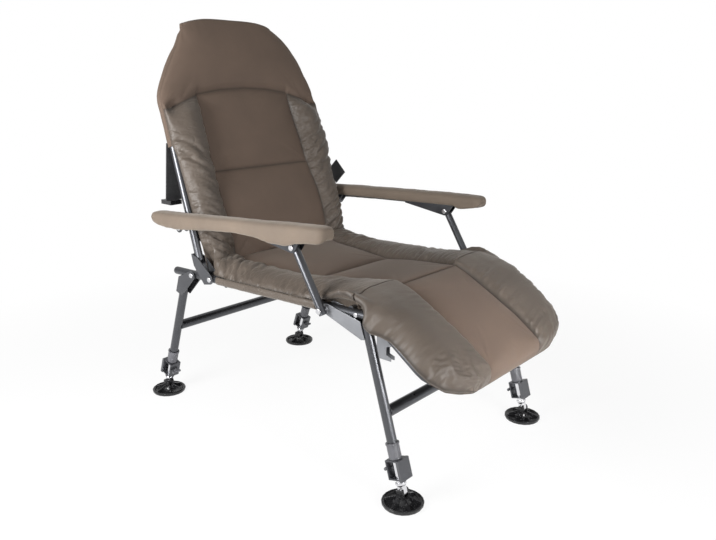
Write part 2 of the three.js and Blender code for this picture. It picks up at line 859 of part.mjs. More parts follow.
// Strap that hangs behind the near tube, its buckle, and the end that shows on the far side
function carryStrap() {
  const group = new THREE.Group();
  const hinge = onSeatLine(backHingeBehind);
  const lean = backLean * degree;
  const onBackLine = hinge.y + hingeOffset / Math.cos(lean) + (strapTopHeight - hinge.z) * Math.tan(lean);
  const strapTopY = onBackLine + (tubeRadius + touchGap) / Math.cos(lean);
  const strapFootHeight = buckleMiddle + buckleHeight / 2 + touchGap;
  const outline = [
    [strapTopY, strapTopHeight],
    [strapTopY + strapThickness, strapTopHeight],
    [strapFootBehind + strapThickness, strapFootHeight],
    [strapFootBehind, strapFootHeight],
  ];
  const strap = sidePlate(outline.reverse(), -strapEdge, -strapEdge + strapWidth);
  const middle = -strapEdge + strapWidth / 2;
  const buckle = solidOf(
    slab(middle - buckleWidth / 2, middle + buckleWidth / 2, buckleBehind - buckleDepth / 2,
      buckleBehind + buckleDepth / 2, buckleMiddle - buckleHeight / 2, buckleMiddle + buckleHeight / 2),
  );
  const half = strapTab / Math.SQRT2;
  const tab = sidePlate([
    [strapTabBehind - half, strapTabHeight],
    [strapTabBehind, strapTabHeight - half],
    [strapTabBehind + half, strapTabHeight],
    [strapTabBehind, strapTabHeight + half],
  ], armCentre, armCentre + strapThickness);
  group.add(
    piece('carry_strap', strap, canvas),
    piece('strap_buckle', buckle, moulding),
    piece('strap_end', tab, canvas),
  );
  return group;
}

// Padded armrest with rounded ends. Its outer flank hangs down beside the channel.
function armPad(sign) {
  const middle = padInner + padWidth / 2;
  const length = padBehind + armSpan + padAhead;
  const ends = padEndShares.map((share) => [share * padEndRound, Math.sqrt(1 - (1 - share) ** 2)]);
  const rows = [
    ...ends,
    [length / 2, 1],
    ...[...ends].reverse().map(([distance, size]) => [length - distance, size]),
  ];
  const squared = (value) => Math.sign(value) * Math.abs(value) ** padSquareness;
  const body = loft(rows.map(([distance, size]) => Array.from({ length: padSides }, (_, k) => {
    const turn = (fullTurn * k) / padSides;
    const x = squared(Math.cos(turn));
    const z = squared(Math.sin(turn));
    const y = padBehind - distance;
    const centre = padRise + padThickness / 2 - y * Math.tan(padTilt * degree);
    return at(sign * middle + (x * size * padWidth) / 2, y, centre + (z * size * padThickness) / 2);
  })));
  const [fromX, toX] = sign > 0 ? [-padWidth, padFlank] : [-padFlank, padWidth];
  const seating = slab(fromX, toX, -length, padBehind + overrun, -channelRoof, channelRoof + touchGap);
  return cut(solidOf(body), seating.translate(sign * armCentre, 0, 0));
}

function armChannel(sign) {
  const inner = strutTube / 2 + slideGap;
  const outer = inner + channelSheet;
  const roof = channelRoof - channelSheet;
  const overhang = cheekRound + roof;
  const rear = hull([
    ...beltOutline([[0, 0, cheekRound]]),
    [overhang, channelRoof],
    [-rearCheek, channelRoof],
  ]);
  const front = hull([
    ...beltOutline([[-armSpan, 0, cheekRound]]),
    [-armSpan - overhang, channelRoof],
    [-armSpan + frontCheek, channelRoof],
    [-armSpan + frontCheek, roof - channelSheet],
  ]);
  const web = slab(-outer, outer, -armSpan - overhang, overhang, roof, channelRoof);
  const cheeks = [rear, front].flatMap((outline) => pairOfPlates(outline, inner, channelSheet));
  const whole = joined(web, ...cheeks);
  const holes = [0, -armSpan].map((y) => (
    crossRod(-strutTube, strutTube, y, 0, clearHole(rivetShank), holeSides)
  ));
  const body = geometryOf(cut(whole, ...holes));
  return body.translate(sign * armCentre, 0, 0);
}

function armRivetProfiles() {
  const cheek = strutTube / 2 + slideGap + channelSheet + touchGap;
  const rear = rivetProfile(halfSpan - tubeRadius - touchGap, armCentre + cheek, rivetShank, rivetHead,
    headThickness, [halfSpan + tubeRadius + touchGap, armCentre - cheek]);
  const front = rivetProfile(armCentre - cheek, armCentre + cheek, rivetShank, rivetHead, headThickness);
  return { rear, front };
}

function arms() {
  const group = new THREE.Group();
  const profiles = armRivetProfiles();
  sides.forEach(({ side, sign }) => {
    group.add(
      piece(`arm_pad_${side}`, armPad(sign), fabric),
      piece(`arm_channel_${side}`, armChannel(sign), paint),
      sidedRivet(`arm_rear_rivet_${side}`, profiles.rear, sign, 0, 0),
      sidedRivet(`arm_front_rivet_${side}`, profiles.front, sign, -armSpan, 0),
    );
  });
  const pivot = strutEnd(backHingeBehind);
  group.position.copy(pivot);
  group.rotation.x = -seatTilt * degree;
  return group;
}

function strutEnd(seatPlace) {
  const foot = onSeatLine(seatPlace);
  const lean = strutLean * degree;
  return at(0, foot.y + strutLength * Math.sin(lean), foot.z + strutLength * Math.cos(lean));
}

function struts() {
  const group = new THREE.Group();
  sides.forEach(({ side, sign }) => {
    const x = sign * armCentre;
    const top = strutLength + strutOverEye;
    const body = rod(at(x, 0, -strutOverEye), at(x, 0, top), strutTube, tubeSides, strutWall);
    const holes = [0, strutLength].map((z) => (
      crossRod(x - strutTube, x + strutTube, 0, z, clearHole(rivetShank), holeSides)
    ));
    group.add(piece(`strut_${side}`, cut(solidOf(body), ...holes), paint));
  });
  group.position.copy(onSeatLine(frontLegAt));
  group.rotation.x = -strutLean * degree;
  return group;
}

// Everything about one pair of legs in the frame of the leg: Z runs up from the foot pin
function legPlan(name) {
  const front = name === 'front';
  const lean = (front ? -frontLegLean : rearLegLean) * degree;
  const foot = at(0, front ? -footReach : footReach, pinHeight);
  const pivot = onSeatLine(front ? frontLegAt : rearLegBehind).sub(foot).applyAxisAngle(acrossAxis, -lean);
  const seatAngle = -seatTilt * degree - lean;
  const underside = (y) => pivot.z + (y - pivot.y) * Math.tan(seatAngle) - tubeRadius / Math.cos(seatAngle);
  const top = Math.min(underside(-legRadius), underside(legRadius)) - touchGap;
  const crossbar = front ? frontCrossbarAt : rearCrossbarAt;
  return { name, front, lean, foot, pivot, underside, top, crossbar };
}

function legFrame(plan) {
  const tubes = sides.map(({ sign }) => {
    const x = sign * halfSpan;
    return rod(at(x, 0, collarFoot), at(x, 0, plan.top), legTube, tubeSides);
  });
  const crossEnd = halfSpan - legRadius / 2;
  const bar = crossRod(-crossEnd, crossEnd, 0, plan.crossbar, crossbarTube, tubeSides);
  const bores = sides.map(({ sign }) => rod(at(sign * halfSpan, 0, collarFoot - overrun),
    at(sign * halfSpan, 0, plan.top + overrun), innerTube + slideGap + slideGap, tubeSides));
  return piece(`${plan.name}_leg_frame`, cut(joined(...tubes, bar), ...bores), paint);
}

// Folded sheet that carries a leg beside its rivet, closed on the side away from the seat tube
function legBracket(plan) {
  const innerHalf = legRadius + slideGap;
  const away = legRadius + slideGap + bracketSheet;
  const boss = beltOutline([[plan.pivot.y, plan.pivot.z, bracketRound]]);
  const gripFoot = plan.top - bracketGrip;
  const web = [];
  let outline;
  if (plan.front) {
    const edge = legRadius * bracketEdgeShare;
    const grip = gripFoot + bracketRound;
    outline = hull([...boss, [edge, plan.underside(edge)], [edge, grip], [legRadius, grip]]);
    const start = [away - bracketSheet, grip + bracketSheet];
    const rise = (plan.pivot.z - bracketRound - start[1]) / (plan.pivot.y - start[0]);
    const run = (plan.pivot.y - start[0]) * bracketWebShare;
    web.push(sidePlate([
      start,
      [start[0] + run, start[1] + run * rise],
      [start[0] + run, start[1] + run * rise + bracketSheet],
      [start[0], start[1] + bracketSheet],
    ], -innerHalf - bracketSheet, innerHalf + bracketSheet));
  } else {
    const webTop = plan.underside(away) - touchGap;
    outline = hull([...boss, [away, webTop], [away, gripFoot], [-legRadius, gripFoot]]);
    const outerHalf = innerHalf + bracketSheet;
    web.push(slab(-outerHalf, outerHalf, away - bracketSheet, away, gripFoot, webTop));
  }
  const whole = joined(...pairOfPlates(outline, innerHalf, bracketSheet), ...web);
  const hole = crossRod(-legTube, legTube, plan.pivot.y, plan.pivot.z, clearHole(rivetShank), holeSides);
  return cut(whole, hole);
}

function legCollar() {
  const bore = legTube + touchGap + touchGap;
  const profile = [
    [bore / 2, collarFoot],
    [collarTube / 2, collarFoot],
    [collarTube / 2, collarTop - lipHeight],
    [lipTube / 2, collarTop - lipHeight],
    [lipTube / 2, collarTop],
    [bore / 2, collarTop],
    [bore / 2, collarFoot],
  ];
  const geometry = new THREE.LatheGeometry(profile.map(([r, z]) => new THREE.Vector2(r, z)), tubeSides);
  geometry.rotateX(quarterTurn);
  return facingOut(mergeIndexed(geometry));
}

// Open box under a collar: a face plate on one side, a rear wall with the lever in it
function lockBox(outward) {
  const halfWidth = boxWidth / 2;
  const halfDepth = boxDepth / 2;
  const body = slab(-halfWidth, halfWidth, -halfDepth, halfDepth, boxFoot, boxTop);
  const window = slab(-halfWidth - overrun, halfWidth + overrun, -halfDepth + facePlate, halfDepth - boxWall,
    boxFoot + boxWall, boxTop - boxWall);
  const face = slab(-halfWidth - faceLap, halfWidth + faceLap, -halfDepth - boxWall, -halfDepth + facePlate,
    boxFoot - faceLap, boxTop);
  const through = innerTube + touchGap + touchGap;
  const bore = rod(at(0, 0, boxFoot - overrun), at(0, 0, boxTop + overrun), through, tubeSides);
  const leverBore = clearHole(leverBarrel);
  const leverHole = rod(at(0, 0, leverHeight), at(0, boxDepth, leverHeight), leverBore, holeSides);
  const whole = solidOf(body).subtract(solidOf(window)).add(solidOf(face));
  const turned = geometryOf(cut(whole, bore, leverHole));
  return outward ? turned : turned.rotateZ(Math.PI);
}

function lockLever(outward) {
  const start = innerTube / 2 + touchGap;
  const barrel = rod(at(0, start, leverHeight), at(0, leverReach, leverHeight), leverBarrel, holeSides);
  const wing = crossRod(-wingSpan / 2, wingSpan / 2, leverReach, leverHeight, wingTube, holeSides);
  const whole = geometryOf(joined(barrel, wing));
  return outward ? whole : whole.rotateZ(Math.PI);
}

function innerLeg() {
  const outer = innerTube / 2;
  const profile = [
    [0, flareFoot],
    [tongueWidth / 2, flareFoot],
    [flareTube / 2, flareTop - lipHeight],
    [flareTube / 2, flareTop],
    [outer, flareTop],
    [outer, innerTop],
    [outer - innerWall, innerTop],
    [outer - innerWall, flareTop + lipHeight],
    [0, flareTop + lipHeight],
  ];
  const geometry = new THREE.LatheGeometry(profile.map(([r, z]) => new THREE.Vector2(r, z)), tubeSides);
  geometry.rotateX(quarterTurn);
  const tongueTop = flareFoot + lipHeight;
  const tongueEye = beltOutline([[0, 0, eyeRound]]);
  const tongueShape = hull([...tongueEye, [-eyeRound, tongueTop], [eyeRound, tongueTop]]);
  const tongue = sidePlate(tongueShape, -tongueWidth / 2, tongueWidth / 2);
  const eye = crossRod(-tongueWidth, tongueWidth, 0, 0, clearHole(pinTube), holeSides);
  const holes = Array.from({ length: adjustHoles }, (_, i) => {
    const height = firstAdjust + i * adjustPitch;
    return rod(at(0, 0, height), at(0, innerTube, height), adjustHole, holeSides);
  });
  return cut(solidOf(facingOut(mergeIndexed(geometry))).add(solidOf(tongue)), eye, ...holes);
}

// Ribbed disc with two ears and a pin, its origin at the pin
function foot() {
  const rim = footDisc / 2;
  const discProfile = footDiscShares.map(([radius, height]) => [rim * radius, rim * height]);
  const geometry = new THREE.LatheGeometry(discProfile.map(([r, z]) => new THREE.Vector2(r, z)), footSides);
  geometry.rotateX(quarterTurn);
  const disc = facingOut(mergeIndexed(geometry));
  const ribs = Array.from({ length: footRibs }, (_, i) => {
    const rib = sidePlate([
      [ribInner, rim * ribShares.foot],
      [ribOuter, rim * ribShares.foot],
      [ribOuter, rim * ribShares.rim],
      [ribInner + ribThickness, rim * ribShares.hub],
      [ribInner, rim * ribShares.hub],
    ], -ribThickness / 2, ribThickness / 2);
    return rib.rotateZ((fullTurn * (i + 0.5)) / footRibs);
  });
  const earTop = beltOutline([[0, pinHeight, earRound]]);
  const earOutline = hull([...earTop, [-earRound, earFoot], [earRound, earFoot]]);
  const ears = [
    sidePlate(earOutline, earInner, earInner + earThickness),
    sidePlate(earOutline, -earInner - earThickness, -earInner),
  ];
  const pinEnd = earInner + earThickness;
  const pin = crossRod(-pinEnd, pinEnd, 0, pinHeight, pinTube, barSides);
  const heads = [pinEnd, -pinEnd - pinHeadThickness].map((x) => (
    crossRod(x, x + pinHeadThickness, 0, pinHeight, pinHead, barSides)
  ));
  return geometryOf(joined(disc, ...ribs, ...ears, pin, ...heads)).translate(0, 0, -pinHeight);
}

function legs(name) {
  const plan = legPlan(name);
  const group = new THREE.Group();
  const inLeg = new THREE.Group();
  inLeg.add(legFrame(plan));
  sides.forEach(({ side, sign }) => {
    const set = [
      piece(`${name}_leg_bracket_${side}`, legBracket(plan), bracketPaint),
      piece(`${name}_collar_${side}`, legCollar(), moulding),
      piece(`${name}_lock_box_${side}`, lockBox(plan.front), bracketPaint),
      piece(`${name}_lock_lever_${side}`, lockLever(plan.front), moulding),
      piece(`${name}_inner_leg_${side}`, innerLeg(), bright),
    ];
    set.forEach((item) => {
      item.position.x = sign * halfSpan;
      inLeg.add(item);
    });
    const disc = piece(`${name}_foot_${side}`, foot(), moulding);
    disc.position.copy(plan.foot).setX(sign * halfSpan);
    group.add(disc);
  });
  inLeg.position.copy(plan.foot);
  inLeg.rotation.x = plan.lean;
  group.add(inLeg);
  return group;
}

// Leg rest in its own frame: -Y runs down the slope from its pivots and Z stands off it
function legRestFrame() {
  const drop = restFrameTilt * degree;
  const along = (distance) => [-distance * Math.cos(drop), -distance * Math.sin(drop)];
  const [stubY, stubZ] = along(-restStub);
  const [endY, endZ] = along(restReach);
  const corners = [
    at(restArmAt, stubY, stubZ),
    at(restArmAt, endY, endZ),
    at(-restArmAt, endY, endZ),
    at(-restArmAt, stubY, stubZ),
  ];
  const normal = at(0, -Math.sin(drop), Math.cos(drop));
  const bar = tube(roundedPath(corners, [restCorner, restCorner]), normal, restTube, barSides);
  const hole = crossRod(-halfSpan, halfSpan, 0, 0, clearHole(smallShank), holeSides);
  return piece('leg_rest_frame', cut(solidOf(bar), hole), paint);
}

function legRestCushion() {
  const length = restCushionReach;
  const widths = [
    [restCushionStart, restHalfWidth * restHeadShare],
    ...restWidthShares.map(([station, width]) => [length * station, restHalfWidth * width]),
  ];
  const stations = [restCushionStart, ...restRowShares.map((share) => share * length)];
  return loft(stations.map((station) => restRing(station, reading(widths, station))));
}

// One section of the leg rest: full in the middle, closing towards its foot
function restRing(station, half) {
  const tailShare = Math.max((station / restCushionReach - restTailStart) / restTailSpan, 0);
  const tail = Math.sqrt(Math.max(1 - tailShare ** restTailPower, 0));
  const start = Math.min((station - restCushionStart) / tubeRadius, 1);
  const under = restUnderside - Math.max(station, 0) * Math.tan(restFrameTilt * degree);
  const [seamLow, seamRise] = restSeamShares;
  const [startLow, startRise] = restStartShares;
  return cushionRing({
    half,
    panel: Math.min(restPanel, half * restPanelShare),
    hem: under + (restHem - restUnderside) * tail,
    seam: under + (restSeamHeight - under) * (seamLow + seamRise * tail),
    bolster: bolsterCrown * restBolsterShare * tail * (startLow + startRise * start),
    crown: panelCrown * restCrownShare * tail * start,
    under: (x) => (x > restArmAt + restTube ? under + restSideRise * tail : under),
    place: (x, height) => at(x, -station, height),
  });
}

function legRest() {
  const group = new THREE.Group();
  const pivot = onSeatLine(legRestAt);
  const backToSeat = (legRestSlope + seatTilt) * degree;
  const grooves = sides.map(({ sign }) => {
    const groove = clearTube(sign * halfSpan, -seatTubeFront - overrun - legRestAt, seatTubeFront);
    return groove.rotateX(-backToSeat);
  });
  const drop = restFrameTilt * degree;
  const slingSide = restArmAt - restTube / 2 - touchGap;
  const restSling = slab(-slingSide, slingSide, -restReach + restCorner, -restSlingStart, -slingThickness / 2,
    slingThickness / 2).rotateX(drop);
  group.add(
    legRestFrame(),
    piece('leg_rest_sling', restSling, canvas),
    piece('leg_rest_cushion', cut(solidOf(legRestCushion()), ...grooves), fabric),
  );
  group.position.copy(pivot);
  group.rotation.x = legRestSlope * degree;
  return group;
}

// Notched catch that hangs from the front rail
function hangingCatch() {
  const inner = catchWidth / 2 - catchSheet;
  const hip = catchRound * Math.SQRT1_2;
  const heel = catchDrop - catchHeel;
  const outline = [
    [catchRound, 0],
    [catchRound * catchHipShare, -catchRound],
    [-catchBack, -catchShoulder],
    [-catchBack, -heel],
    [-catchBack - catchToe, -catchDrop],
    [-catchFace, -catchDrop],
    [-catchFace, -notchFoot],
    [notchDepth - catchFace, notchSlope - notchFoot],
    [notchDepth - catchFace, -notchTop - notchSlope],
    [-catchFace, -notchTop],
    [-catchFace, -catchChest],
    [-catchRound, -catchSheet],
    [-hip, hip],
    [0, catchRound],
    [hip, hip],
  ];
  const web = slab(-inner - catchSheet, inner + catchSheet, -catchBack - catchSheet, -catchBack,
    touchGap - heel, -catchShoulder - catchSheet);
  const whole = joined(...pairOfPlates(outline, inner, catchSheet), web);
  const hole = crossRod(-catchWidth, catchWidth, 0, 0, railTube + slideGap + slideGap, barSides);
  return cut(whole, hole);
}

function catches() {
  const group = new THREE.Group();
  const rail = at(0, frontRail.y, frontRail.z).applyAxisAngle(acrossAxis, -seatTilt * degree);
  sides.forEach(({ side, sign }) => {
    const item = piece(`leg_rest_catch_${side}`, hangingCatch(), bracketPaint);
    item.position.set(sign * catchAt, rail.y, rail.z + seatHeight);
    group.add(item);
  });
  return group;
}

const chair = new THREE.Group();
chair.add(seat(), back(), carryStrap(), arms(), struts(), legs('front'), legs('rear'), legRest(), catches());

// The origin goes under the middle of the whole chair, on the ground
chair.updateMatrixWorld(true);
const extent = new THREE.Box3().setFromObject(chair, true);
const middle = extent.getCenter(new THREE.Vector3());
chair.position.set(-middle.x, -middle.y, -extent.min.z);
chair.updateMatrixWorld(true);

export default chair;
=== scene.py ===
"""Reclining bankside chair with a padded leg rest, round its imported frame. Local frames are in mm."""

import math

import bmesh
import bpy
import numpy as np
from mathutils import Matrix, Vector, noise


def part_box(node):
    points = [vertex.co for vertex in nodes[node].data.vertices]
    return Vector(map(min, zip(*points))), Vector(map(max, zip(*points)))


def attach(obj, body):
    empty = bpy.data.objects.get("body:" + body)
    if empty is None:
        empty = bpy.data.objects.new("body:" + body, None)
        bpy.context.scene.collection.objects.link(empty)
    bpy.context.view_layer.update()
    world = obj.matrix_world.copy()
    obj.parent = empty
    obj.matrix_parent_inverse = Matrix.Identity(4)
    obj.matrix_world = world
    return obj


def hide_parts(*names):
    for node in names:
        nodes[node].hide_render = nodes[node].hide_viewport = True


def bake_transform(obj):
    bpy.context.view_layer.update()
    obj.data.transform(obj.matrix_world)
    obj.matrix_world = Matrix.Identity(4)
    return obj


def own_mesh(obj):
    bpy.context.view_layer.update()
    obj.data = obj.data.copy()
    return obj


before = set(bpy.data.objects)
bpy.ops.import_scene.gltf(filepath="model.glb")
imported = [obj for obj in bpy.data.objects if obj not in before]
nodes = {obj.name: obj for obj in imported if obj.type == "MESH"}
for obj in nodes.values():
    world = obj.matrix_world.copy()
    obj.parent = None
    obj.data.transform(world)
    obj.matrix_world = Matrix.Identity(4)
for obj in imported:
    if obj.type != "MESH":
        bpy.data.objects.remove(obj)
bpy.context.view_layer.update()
scene = bpy.context.scene
MM = 0.001

# ---- places of the frame, angles in degrees
SEAT_TILT = 2.0
BACK_LEAN = 16.5
REST_SLOPE = 31.0
HINGE_AT = 186.0
HINGE_REACH = 145.4
HINGE_RAKE = 15.0
HINGE_OFFSET = HINGE_REACH * math.sin(math.radians(HINGE_RAKE))
HALF_SPAN = 256.0
TUBE_RADIUS = 10.0


def middle(name):
    """Middle of a node's box, moved onto the chair's centre plane."""
    low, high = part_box(name)
    point = (low + high) / 2
    return Vector((0, point.y, point.z))


def placed(origin, degrees):
    """Matrix from a local frame in mm to the scene in metres."""
    return Matrix.Translation(origin) @ Matrix.Rotation(math.radians(degrees), 4, "X") @ Matrix.Scale(MM, 4)


hinge = middle("hinge_rivet_left")
tilt = Matrix.Rotation(math.radians(-SEAT_TILT), 3, "X")
lean = Matrix.Rotation(math.radians(-BACK_LEAN), 3, "X")
SEAT = placed(hinge - tilt @ Vector((0, HINGE_AT * MM, 0)), -SEAT_TILT)
BACK = placed(hinge + lean @ Vector((0, HINGE_OFFSET * MM, 0)), -BACK_LEAN)
REST = placed(middle("leg_rest_rivet_left"), REST_SLOPE)
ARM = placed(middle("arm_rear_rivet_left"), -SEAT_TILT)


def to_scene(points, matrix):
    flat = np.asarray(points, float).reshape(-1, 3)
    m = np.array(matrix)
    return (flat @ m[:3, :3].T + m[:3, 3]).reshape(np.shape(points))


def assign(target, **settings):
    for key, value in settings.items():
        setattr(target, key, value)
    return target


def linked(name, data):
    obj = bpy.data.objects.new(name, data)
    scene.collection.objects.link(obj)
    return obj


# ---- materials
MOTTLE = 0.12
SPECK_SHADE = 0.72
# painted shadow: the cloth's colour is darkened along its seams to stand for the shade in the seam grooves
PAINTED_SEAM_SHADOW = 0.45
SHEEN_TINT = (0.9, 0.84, 0.76)
WORN_EDGE = (0.32, 0.32, 0.33)
FOLD_DEPTH = 0.0016


def wire(tree, value, socket):
    """Links an output to a socket, or writes a value into it."""
    if isinstance(value, bpy.types.NodeSocket):
        tree.links.new(value, socket)
    elif socket.type == "RGBA":
        socket.default_value = (*value, 1)
    else:
        socket.default_value = value


def node(tree, kind, inputs, out=0, **settings):
    """Adds a node with its settings and inputs, and returns one of its outputs."""
    made = assign(tree.nodes.new("ShaderNode" + kind), **settings)
    for key, value in inputs.items():
        wire(tree, value, made.inputs[key])
    return made.outputs[out]


def object_coords(tree):
    return node(tree, "TexCoord", {}, "Object")


def noise_of(tree, scale, detail=3.0, rough=0.6, stretch=None):
    coords = object_coords(tree)
    if stretch:
        coords = node(tree, "Mapping", {"Vector": coords, "Scale": stretch})
    values = {"Vector": coords, "Scale": scale, "Detail": detail, "Roughness": rough}
    return node(tree, "TexNoise", values, "Fac")


def remap(tree, value, low, high, from_low=0.3, from_high=0.7):
    return node(tree, "MapRange", {"Value": value, "From Min": from_low, "From Max": from_high,
                                   "To Min": low, "To Max": high})


def math_of(tree, operation, a, b=0):
    return node(tree, "Math", {0: a, 1: b}, operation=operation)


def color_mix(tree, factor, first, second):
    return node(tree, "Mix", {0: factor, 6: first, 7: second}, 2, data_type="RGBA")


def bump_of(tree, height, strength, distance, **under):
    return node(tree, "Bump", {"Height": height, "Strength": strength, "Distance": distance, **under})


def weave_of(tree, pitch):
    """Height of a plain weave: two crossed threads, from three wave sets so that no side needs UVs."""
    split = node(tree, "SeparateXYZ", {0: object_coords(tree)}).node
    turns = 2 * math.pi / pitch
    x, y, z = [math_of(tree, "SINE", math_of(tree, "MULTIPLY", axis, turns)) for axis in split.outputs]
    return math_of(tree, "ADD", math_of(tree, "MULTIPLY", x, y), math_of(tree, "MULTIPLY", x, z))


def scaled(color, by):
    return tuple(min(1.0, c * by) for c in color)


def mottled(tree, cloud, color, dark, light, from_low=0.3):
    """The colour, swinging between two shares of itself with the cloud."""
    return color_mix(tree, remap(tree, cloud, 0, 1, from_low), scaled(color, dark), scaled(color, light))


def fill(tree, values):
    """Sets or links inputs of the material's main shader."""
    for key, value in values.items():
        wire(tree, value, tree.nodes["Principled BSDF"].inputs[key])


def new_material(name, color, rough, metallic=0.0):
    mat = bpy.data.materials.new(name)
    mat.use_nodes = True
    fill(mat.node_tree, {"Base Color": color, "Roughness": rough, "Metallic": metallic})
    return mat, mat.node_tree


def fabric(name, color, rough, sheen, pitch, crush=0.0):
    mat, tree = new_material(name, color, rough)
    large = noise_of(tree, 9.0)
    fine = noise_of(tree, 900.0, 2.0, 0.7)
    base = mottled(tree, large, color, 1 - MOTTLE, 1 + MOTTLE)
    speck = color_mix(tree, remap(tree, fine, 0, 0.35, 0.35, 0.75), base, scaled(color, SPECK_SHADE))
    # the seam attribute masks the painted seam shadow, darkest in the grooves along the seams
    seam = node(tree, "Attribute", {}, "Fac", attribute_name="seam")
    weave = math_of(tree, "MULTIPLY", weave_of(tree, pitch), 0.5)
    height = math_of(tree, "ADD", weave, math_of(tree, "MULTIPLY", fine, 0.6))
    under = {}
    if crush:
        # small crow's feet of gathered cloth, longer across the piece than along it
        folds = noise_of(tree, 42.0, 2.0, 0.55, (0.4, 1.0, 1.0))
        away = math_of(tree, "ABSOLUTE", math_of(tree, "SUBTRACT", folds, 0.5))
        ridge = math_of(tree, "POWER", remap(tree, away, 0, 1, 0.0, 0.13), 0.7)
        under["Normal"] = bump_of(tree, ridge, crush, FOLD_DEPTH)
    fill(tree, {
        "Base Color": color_mix(tree, seam, speck, scaled(color, PAINTED_SEAM_SHADOW)),
        "Roughness": remap(tree, large, rough - 0.06, rough + 0.06),
        "Sheen Weight": sheen, "Sheen Roughness": 0.45, "Sheen Tint": SHEEN_TINT, "Specular IOR Level": 0.35,
        "Normal": bump_of(tree, height, 0.25, 0.0002, **under)})
    return mat


def metal_paint(name, color, rough, metallic):
    mat, tree = new_material(name, color, rough, metallic)
    smear = noise_of(tree, 14.0, 4.0)
    edge = remap(tree, node(tree, "NewGeometry", {}, "Pointiness"), 0, 0.25, 0.54, 0.62)
    fill(tree, {
        "Base Color": color_mix(tree, edge, mottled(tree, smear, color, 0.9, 1.12), WORN_EDGE),
        "Roughness": remap(tree, smear, rough - 0.05, rough + 0.07),
        "Coat Weight": 0.3, "Coat Roughness": 0.18,
        "Normal": bump_of(tree, noise_of(tree, 1400.0, 2.0), 0.12, 0.0001)})
    return mat


def bare_metal(name, color, rough):
    mat, tree = new_material(name, color, rough, 1.0)
    drawn = noise_of(tree, 260.0, stretch=(1.0, 1.0, 0.05))
    fill(tree, {
        "Base Color": mottled(tree, noise_of(tree, 22.0), color, 0.88, 1, 0.35),
        "Roughness": remap(tree, drawn, rough - 0.04, rough + 0.1),
        "Normal": bump_of(tree, drawn, 0.06, 0.0001)})
    return mat


def moulded(name, color, rough):
    mat, tree = new_material(name, color, rough)
    cloud = noise_of(tree, 18.0)
    fill(tree, {
        "Base Color": mottled(tree, cloud, color, 0.8, 1.25),
        "Roughness": remap(tree, cloud, rough - 0.05, rough + 0.1),
        "Normal": bump_of(tree, noise_of(tree, 700.0), 0.1, 0.0001)})
    return mat


def canvas(name, color, pitch):
    mat, tree = new_material(name, color, 0.78)
    fill(tree, {
        "Base Color": mottled(tree, noise_of(tree, 30.0), color, 0.7, 1.5), "Sheen Weight": 0.25,
        "Normal": bump_of(tree, weave_of(tree, pitch), 0.5, 0.0004)})
    return mat


PANEL_COLOR = (0.119, 0.083, 0.062)
BOLSTER_COLOR = (0.087, 0.069, 0.055)
panel_cloth = fabric("panel_cloth", PANEL_COLOR, 0.78, 0.12, 0.0011)
arm_cloth = fabric("arm_cloth", (0.146, 0.113, 0.086), 0.75, 0.25, 0.0011)
bolster_cloth = fabric("bolster_cloth", BOLSTER_COLOR, 0.46, 0.16, 0.0009, crush=0.45)
taut_cloth = fabric("taut_cloth", BOLSTER_COLOR, 0.48, 0.16, 0.0009, crush=0.14)
thread = fabric("thread", scaled(PANEL_COLOR, 0.8), 0.5, 0.2, 0.0006)
black_canvas = canvas("black_canvas", (0.012, 0.012, 0.013), 0.0018)
webbing = canvas("black_webbing", (0.016, 0.016, 0.018), 0.0026)
frame_paint = metal_paint("frame_paint", (0.068, 0.070, 0.077), 0.3, 0.85)
dark_bracket = metal_paint("dark_bracket", (0.085, 0.087, 0.095), 0.36, 0.8)
bracket_paint = metal_paint("bracket_paint", (0.23, 0.235, 0.25), 0.42, 0.7)
bright = bare_metal("bright_leg", (0.82, 0.82, 0.84), 0.16)
steel = bare_metal("rivet_steel", (0.72, 0.72, 0.74), 0.24)
gloss_black = moulded("gloss_moulding", (0.012, 0.012, 0.013), 0.2)
grey_moulding = moulded("grey_moulding", (0.10, 0.10, 0.11), 0.36)

# ---- carried-over CAD nodes: the first word that a name holds gives its finish
FINISH = {
    "rivet": steel, "inner_leg": bright, "collar": grey_moulding, "lever": grey_moulding,
    "lock_box": dark_bracket, "foot": gloss_black, "front_leg_bracket": bracket_paint,
    "bracket": dark_bracket, "hinge_plate": dark_bracket, "catch": bracket_paint, "sling": black_canvas,
    "strap_buckle": gloss_black, "strap": webbing, "cushion": panel_cloth, "arm_pad": arm_cloth}

for name, obj in nodes.items():
    obj.data.materials.clear()
    obj.data.materials.append(next((mat for word, mat in FINISH.items() if word in name), frame_paint))
    obj.data.polygons.foreach_set("use_smooth", [True] * len(obj.data.polygons))
    assign(obj.modifiers.new("weld", "WELD"), merge_threshold=0.00002)
    assign(obj.modifiers.new("edges", "BEVEL"), width=0.00045, segments=2, limit_method="ANGLE",
           angle_limit=math.radians(41))
    assign(obj.modifiers.new("normals", "WEIGHTED_NORMAL"), weight=80)

# ---- curves, tables and cloth grids
ROW_PITCH = 4.2
PANEL_STEPS = 27
BOLSTER_STEPS = 24
TUCK_STEPS = 6
CENTRE = PANEL_STEPS + BOLSTER_STEPS + TUCK_STEPS
SEAM_COLS = [CENTRE - PANEL_STEPS, CENTRE + PANEL_STEPS]
EDGE_COLS = [CENTRE - PANEL_STEPS - BOLSTER_STEPS, CENTRE + PANEL_STEPS + BOLSTER_STEPS]
FRONT_COLS = 2 * CENTRE + 1
PANEL_COLS = slice(SEAM_COLS[0], SEAM_COLS[1] + 1)
REAR_COLS = range(TUCK_STEPS + 2, FRONT_COLS - TUCK_STEPS - 2, 4)[::-1]
REAR_NARROW = 0.985
